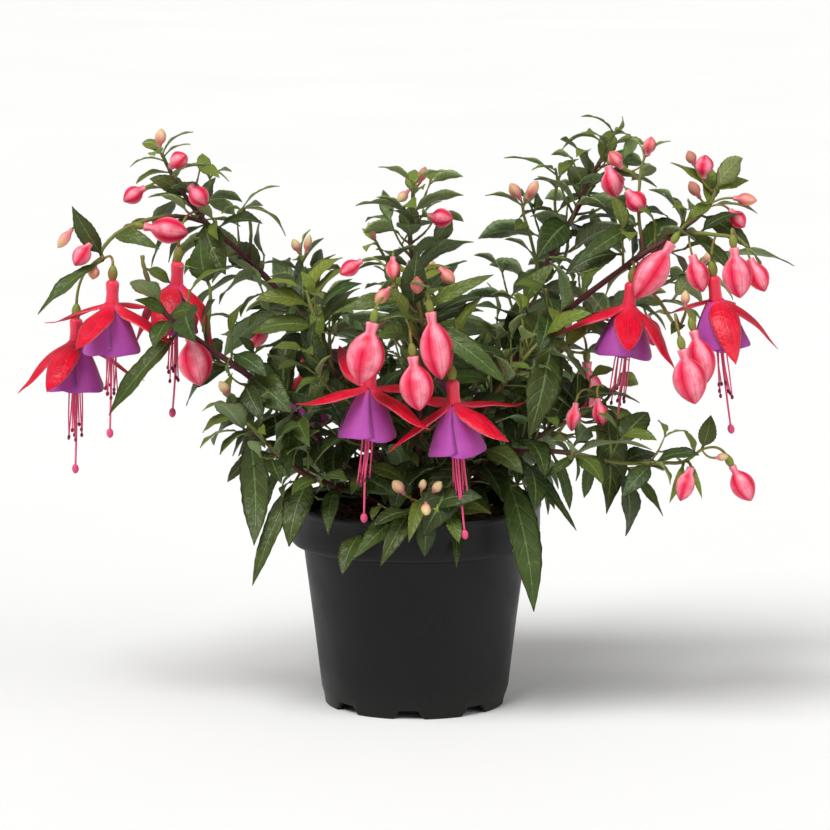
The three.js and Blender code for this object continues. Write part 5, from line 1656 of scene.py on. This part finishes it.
@dataclass
class Stance:
    """Where an open flower hangs and how it faces.

    Attributes:
        top: Top of its tube.
        mouth: Middle of the tube's mouth.
        axis: Its direction, from the stalk to the corolla's hem.
        row: Its own number, for scatter.
    """

    top: Array
    mouth: Array
    axis: Array
    row: int

    def outward(self, turn: float | Array) -> Array:
        """The directions square to the axis at some angles, in radians round from the front."""
        right = square_to(np.array([1.0, 0, 0]), self.axis)
        turn = np.asarray(turn)[..., None]
        return np.cross(self.axis, right) * np.cos(turn) + right * np.sin(turn)


@dataclass
class OpenFlowers:
    """The open flowers: tube and sepals, corolla, stamens and pistil, on their stalks.

    Attributes:
        palette: The finishes.
        ovary: Length of the seed vessel.
        ovary_radius: Its radius.
        tube: Length of the tube.
        tube_radius: Its radius at the mouth.
        tube_neck: Its radius at the seed vessel.
        sepal: Length of a sepal.
        sepal_width: Its width.
        droop: Degrees that a sepal starts higher and ends lower than its lift.
        spread: The least that a sepal starts out from the axis.
        corolla: Length of the corolla.
        mouth: Radius of its hem.
        petal_half: Half of the turn that a petal wraps round, in degrees.
        petal_inset: How far the inner petals lie inside the outer ones.
        stamens: Number of stamens.
        stamen_reach: How far they hang below the corolla.
        stamen_spread: How far their ends stand apart from the axis.
        pistil_reach: How far the pistil hangs below the corolla.
    """

    palette: Palette
    ovary: float = 7.0
    ovary_radius: float = 2.3
    tube: float = 11.0
    tube_radius: float = 3.1
    tube_neck: float = 1.6
    sepal: float = 36.0
    sepal_width: float = 15.0
    droop: float = 12.0
    spread: float = 70.0
    corolla: float = 22.5
    mouth: float = 12.6
    petal_half: float = 66.0
    petal_inset: float = 2.0
    stamens: int = 8
    stamen_reach: float = 22.0
    stamen_spread: float = 4.2
    pistil_reach: float = 38.0

    def tube_skin(self, stance: Stance) -> Skin:
        """The tube: narrow where it leaves the seed vessel, fuller below, with four soft ribs."""
        z = np.linspace(0, 1, 14)
        waist = 0.3 * np.exp(-(((z - 0.55) / 0.25) ** 2))
        radii = self.tube_neck + (self.tube_radius - self.tube_neck) * smooth_step(-0.05, 0.12, z) - waist
        ribs = 1 + 0.05 * np.cos(4 * round_turn(24))[None] * np.ones((14, 1))
        line = stance.top + stance.axis * (self.tube + 0.6) * z[:, None]
        rings = round_rings(line, radii, 24, ribs)
        return skin_of(rings, (0.5, scatter(stance.row, 700), 0.0), along=z * 0.12)

    def sepal_rings(self, stance: Stance, out: Array, lift: float, number: float) -> Array:
        """One sepal: it leaves along the tube, flares, then turns evenly down, and up a little at the tip.

        Across it, the blade follows an arc whose radius grows from the tube's to a shallow trough, and it
        narrows to a long point. The inner side is the same surface, a little nearer the axis.

        Args:
            stance: Where the flower hangs.
            out: The sepal's direction, square to the axis.
            lift: Degrees up from the axis.
            number: The sepal's own number.

        Returns:
            Rings as (1, station, place round, coordinate).
        """
        start = math.radians(max(lift + self.droop, self.spread))
        end = 2 * math.radians(lift) - start
        s = np.concatenate([np.linspace(0, 0.9, 15), [0.95, 0.985, 1.0]])
        angle = start + (end - start) * s + math.radians(22) * smooth_step(0.72, 1, s) * (0.5 + number)
        angle = (angle - math.radians(38) * (1 - smooth_step(0.0, 0.16, s)))[:, None]
        heading = stance.axis * np.cos(angle) + out * np.sin(angle)
        over = out * np.cos(angle) - stance.axis * np.sin(angle)
        root = stance.mouth + out * (self.tube_radius - 0.5) - stance.axis * 1.2
        middle = root + np.cumsum(heading * np.diff(s, prepend=0)[:, None] * self.sepal, axis=0)
        swelling = 0.36 + 0.64 * smooth_step(-0.06, 0.3, s)
        narrowing = np.clip(1 - (np.clip(s - 0.34, 0, 1) / 0.66) ** 1.9, 0, 1) ** 0.95
        half = np.maximum(self.sepal_width / 2 * np.where(s < 0.34, swelling, narrowing), 0.25)[:, None]
        trough = (self.tube_radius + 0.3 + 12 * smooth_step(0.02, 0.4, s))[:, None]
        t = np.concatenate([np.linspace(-1, 1, 9), np.linspace(0.75, -0.75, 7)])[None]
        inner = np.concatenate([np.zeros(9), np.ones(7)])[None]
        bend = t * half / trough
        ripple = 0.35 * np.sin(9 * s + 6 * number)[:, None] * t**2 * np.minimum(half / 4, 1)
        thick = inner * 0.55 * (1.15 - t**2) * (1.1 - 0.6 * s[:, None])
        reach, depth = trough * np.sin(bend), ripple - thick - trough * (1 - np.cos(bend))
        sideways = np.cross(stance.axis, out)
        return (middle[:, None] + sideways * reach[..., None] + over[:, None] * depth[..., None])[None]

    def sepals_skin(self, stance: Stance, sepals: list[tuple[float, float]]) -> Skin:
        """The four sepals, with their outer side in slot 0 and their inner side in slot 1."""
        skins = []
        across = np.concatenate([np.linspace(0, 1, 9), np.linspace(0.875, 0.125, 7), [0]])
        for item, (bearing, lift) in enumerate(sepals):
            number = scatter(stance.row, 500 + item)
            rings = self.sepal_rings(stance, stance.outward(math.radians(bearing)), lift, number)
            along = np.linspace(0.1, 1, rings.shape[1])
            skins.append(skin_of(rings, (0.5, number, 0.0), across, along, np.repeat([0, 1], 8)))
        return together(skins)

    def petal_rings(self, stance: Stance, turn: float, inset: float, wide: float, number: float) -> Array:
        """One petal of the bell: it wraps part of the way round, over the next and under the last.

        Its radius is 4 + (hem − 4) × (1 − (1 − q)^1.5)^0.95 for q from foot to hem, plus a lean across it
        that puts one edge outside, a flare at the hem, and flutes that grow towards the hem and die out at
        the edges. q is the height as a share of the corolla's, so that petals of any length lie in one bell.

        Args:
            stance: Where the flower hangs.
            turn: Middle of the petal, in radians round from the front.
            inset: How far inside the outer petals it is.
            wide: The hem's radius.
            number: The petal's own number.

        Returns:
            Rings as (1, station, place round, coordinate).
        """
        v = np.concatenate([np.linspace(0, 0.96, 13), [0.99, 1.0]])[:, None]
        t = np.concatenate([np.linspace(-1, 1, 11), np.linspace(0.8, -0.8, 9)])[None]
        inner = np.concatenate([np.zeros(11), np.ones(9)])[None]
        hem = 1 - 0.13 * np.abs(t) ** 3 - 0.025 * np.cos(4.1 * t + 6 * number)
        length = self.corolla * hem * (1 - 0.015 * inset)
        q = np.clip(v * length / self.corolla, 0, 1)
        radius = 4 + (wide - 4) * (1 - (1 - q) ** 1.5) ** 0.95 - inset
        radius = radius + 0.5 * t * (0.6 + 0.4 * q) + 0.9 * smooth_step(0.65, 1, q)
        radius = radius + 0.3 * q**2 * np.sin(5.2 * t + 5 * number) * (1 - t**2)
        radius = radius - inner * 0.26 * (1.05 - np.abs(t) ** 6) * (1.02 - smooth_step(0.97, 1.0, v))
        out = stance.outward(turn + t * math.radians(self.petal_half) * (0.8 + 0.2 * v))
        return (stance.mouth + stance.axis * (0.5 + v * length)[..., None] + out * radius[..., None])[None]

    def corolla_skin(self, stance: Stance, fullness: float) -> Skin:
        """Four outer petals and four inner ones, turned so that each covers the gap between two others."""
        skins = []
        across = np.concatenate([np.linspace(0, 1, 11), np.linspace(0.9, 0.1, 9), [0]])
        for item in range(8):
            inset, gap = (0.0, 0) if item < 4 else (self.petal_inset, 45)
            turn = math.radians(90 * item + gap + 20) + 0.5 * scatter(stance.row, 600)
            number = scatter(stance.row, 520 + item)
            rings = self.petal_rings(stance, turn, inset, self.mouth * fullness, number)
            skins.append(skin_of(rings, (0.5, number, 0.0), across))
        return together(skins)

    def threads_skin(self, stance: Stance) -> Skin:
        """Eight stamens with their anthers, and the longer, stouter pistil with its four-lobed end."""
        skins = []
        axis, mouth = stance.axis, stance.mouth
        z = np.linspace(-0.97, 0.97, 8)
        for k in range(self.stamens + 1):
            pistil = k == self.stamens
            angle_share, spread_share, reach_share, sway_share, lean_share, number = (
                scatter(stance.row, k + step) for step in (0, 20, 40, 60, 80, 90)
            )
            out = stance.outward((k + angle_share) / self.stamens * 2 * math.pi)
            side = np.cross(axis, out)
            if pistil:
                foot, spread, hang = 0.0, 1.5, self.pistil_reach
                radius, size, lobe, lean, knobness = 0.6, 1.55, 0.14, 0.0, 0.15
            else:
                foot, spread = 0.8, self.stamen_spread * (0.4 + 0.6 * spread_share)
                hang = self.stamen_reach * (0.7 + 0.4 * reach_share)
                radius, size, lobe, lean, knobness = 0.42, 0.75, 0.0, 0.6, 1.0
            start = mouth + axis * 0.5 + out * foot
            end = mouth + axis * (self.corolla + hang) + out * spread
            sway = side * (sway_share - 0.5) * 5 + out * (lean_share - 0.3) * 3
            line = bent_line(start, (start + end) / 2 + sway, end, 12)
            thread = round_rings(line, np.linspace(radius, radius * 0.8, 12), 6)
            lobes = 1 + lobe * np.cos(4 * round_turn(12))[None] * np.ones((8, 1))
            tilt = unit(line[-1] - line[-3] + lean * side)
            knob = round_rings(end + tilt * (z * size * 1.5)[:, None], size * np.sqrt(1 - z**2), 12, lobes)
            skins += [skin_of(thread, (0.5, number, 0.0)), skin_of(knob, (0.5, number, knobness))]
        return together(skins)

    def build(self) -> None:
        """Makes the pieces of each flower."""
        for row, flower in enumerate(FLOWERS, start=60):
            top = place_at(flower.top)
            axis = unit(place_at(flower.hem) - top)
            stance = Stance(top, top + axis * self.tube, axis, row)
            calyx = together([self.tube_skin(stance), self.sepals_skin(stance, flower.sepals)])
            stalk = carried(flower.on, top, axis, self.ovary, self.ovary_radius, scatter(row, 710))
            corolla, threads = self.corolla_skin(stance, flower.fullness), self.threads_skin(stance)
            name, looks = f"flower_{flower.name}", self.palette
            make_piece(f"{name}_sepals", calyx, looks.sepal, (f"{name}_calyx",))
            make_piece(f"{name}_stalk", stalk, looks.stalk, (f"{name}_calyx",))
            make_piece(f"{name}_petals", corolla, looks.petal, (f"{name}_corolla",))
            make_piece(f"{name}_threads", threads, looks.thread, (f"{name}_stamens",))


# ---- the studio


@dataclass
class Studio:
    """A pale floor, soft lamps and the camera.

    Attributes:
        distance: Camera's distance from the middle of the plant.
        elevation: Degrees that it stands above the level.
        middle: Height of the point it looks at.
        width: Width of the picture at the pot's axis.
        sensor: Width of the camera's sensor.
        floor: Half of the floor's width, in metres.
        sky: Strength of the even light from all round.
        lamps: Each lamp's name, heading from the plant, width in degrees, and watts a square metre.
    """

    distance: float = 2000.0
    elevation: float = 9.05
    middle: float = 137.7
    width: float = 392.6
    sensor: float = 36.0
    floor: float = 15.0
    sky: float = 0.3
    lamps: tuple[tuple[str, Point, float, float], ...] = (
        ("key", (-0.5, -0.7, 1.2), 34, 2.9),
        ("fill", (0.9, -0.6, 0.6), 60, 0.8),
    )

    def add_lamps(self) -> None:
        """Adds far lamps that light the whole studio evenly, with soft shadows."""
        for name, heading, spread, strength in self.lamps:
            lamp = bpy.data.lights.new(name, "SUN")
            lamp.angle, lamp.energy = math.radians(spread), strength
            holder = bpy.data.objects.new(name, lamp)
            holder.rotation_euler = (-Vector(heading)).to_track_quat("-Z", "Y").to_euler()
            bpy.context.scene.collection.objects.link(holder)

    def add_camera(self) -> None:
        """Adds the camera and makes it the scene's own."""
        lens = bpy.data.cameras.new("camera")
        lens.sensor_width, lens.lens = self.sensor, self.sensor * self.distance / self.width
        lens.clip_start, lens.clip_end = 0.05, 60.0
        camera = bpy.data.objects.new("camera", lens)
        rise = math.radians(self.elevation)
        target = Vector((0, 0, self.middle))
        place = target + Vector((0, -math.cos(rise), math.sin(rise))) * self.distance
        camera.location = place * METRES
        camera.rotation_euler = (target - place).to_track_quat("-Z", "Y").to_euler()
        bpy.context.scene.collection.objects.link(camera)
        bpy.context.scene.camera = camera

    def add_floor(self) -> None:
        """Adds the floor, which is not part of the plant."""
        mesh = bpy.data.meshes.new("floor")
        corners = [(x * self.floor, y * self.floor, 0) for x, y in ((-1, -1), (1, -1), (1, 1), (-1, 1))]
        mesh.from_pydata(corners, [], [(0, 1, 2, 3)])
        mesh.materials.append(FloorFinish("matt paint", 0.8, 0.0).material())
        floor = bpy.data.objects.new("floor", mesh)
        bpy.context.scene.collection.objects.link(floor)

    def build(self) -> None:
        """Sets up the world, the lamps, the floor and the camera."""
        world = bpy.data.worlds.new("studio")
        world.use_nodes = True
        colour, strength = world.node_tree.nodes["Background"].inputs[:2]
        colour.default_value, strength.default_value = (1.0, 1.0, 1.0, 1.0), self.sky
        bpy.context.scene.world = world
        bpy.context.scene.view_settings.view_transform = "Standard"
        self.add_lamps()
        self.add_floor()
        self.add_camera()


def main() -> None:
    """Builds the pieces in order."""
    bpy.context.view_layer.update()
    Studio().build()
    number_stems()
    palette = Palette()
    NurseryPot().build(palette)
    Compost().build(palette)
    Crown().build(palette)
    Growth(palette).build()
    LargeBuds(palette).build()
    OpenFlowers(palette).build()
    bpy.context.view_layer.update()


if __name__ == "__main__":
    main()
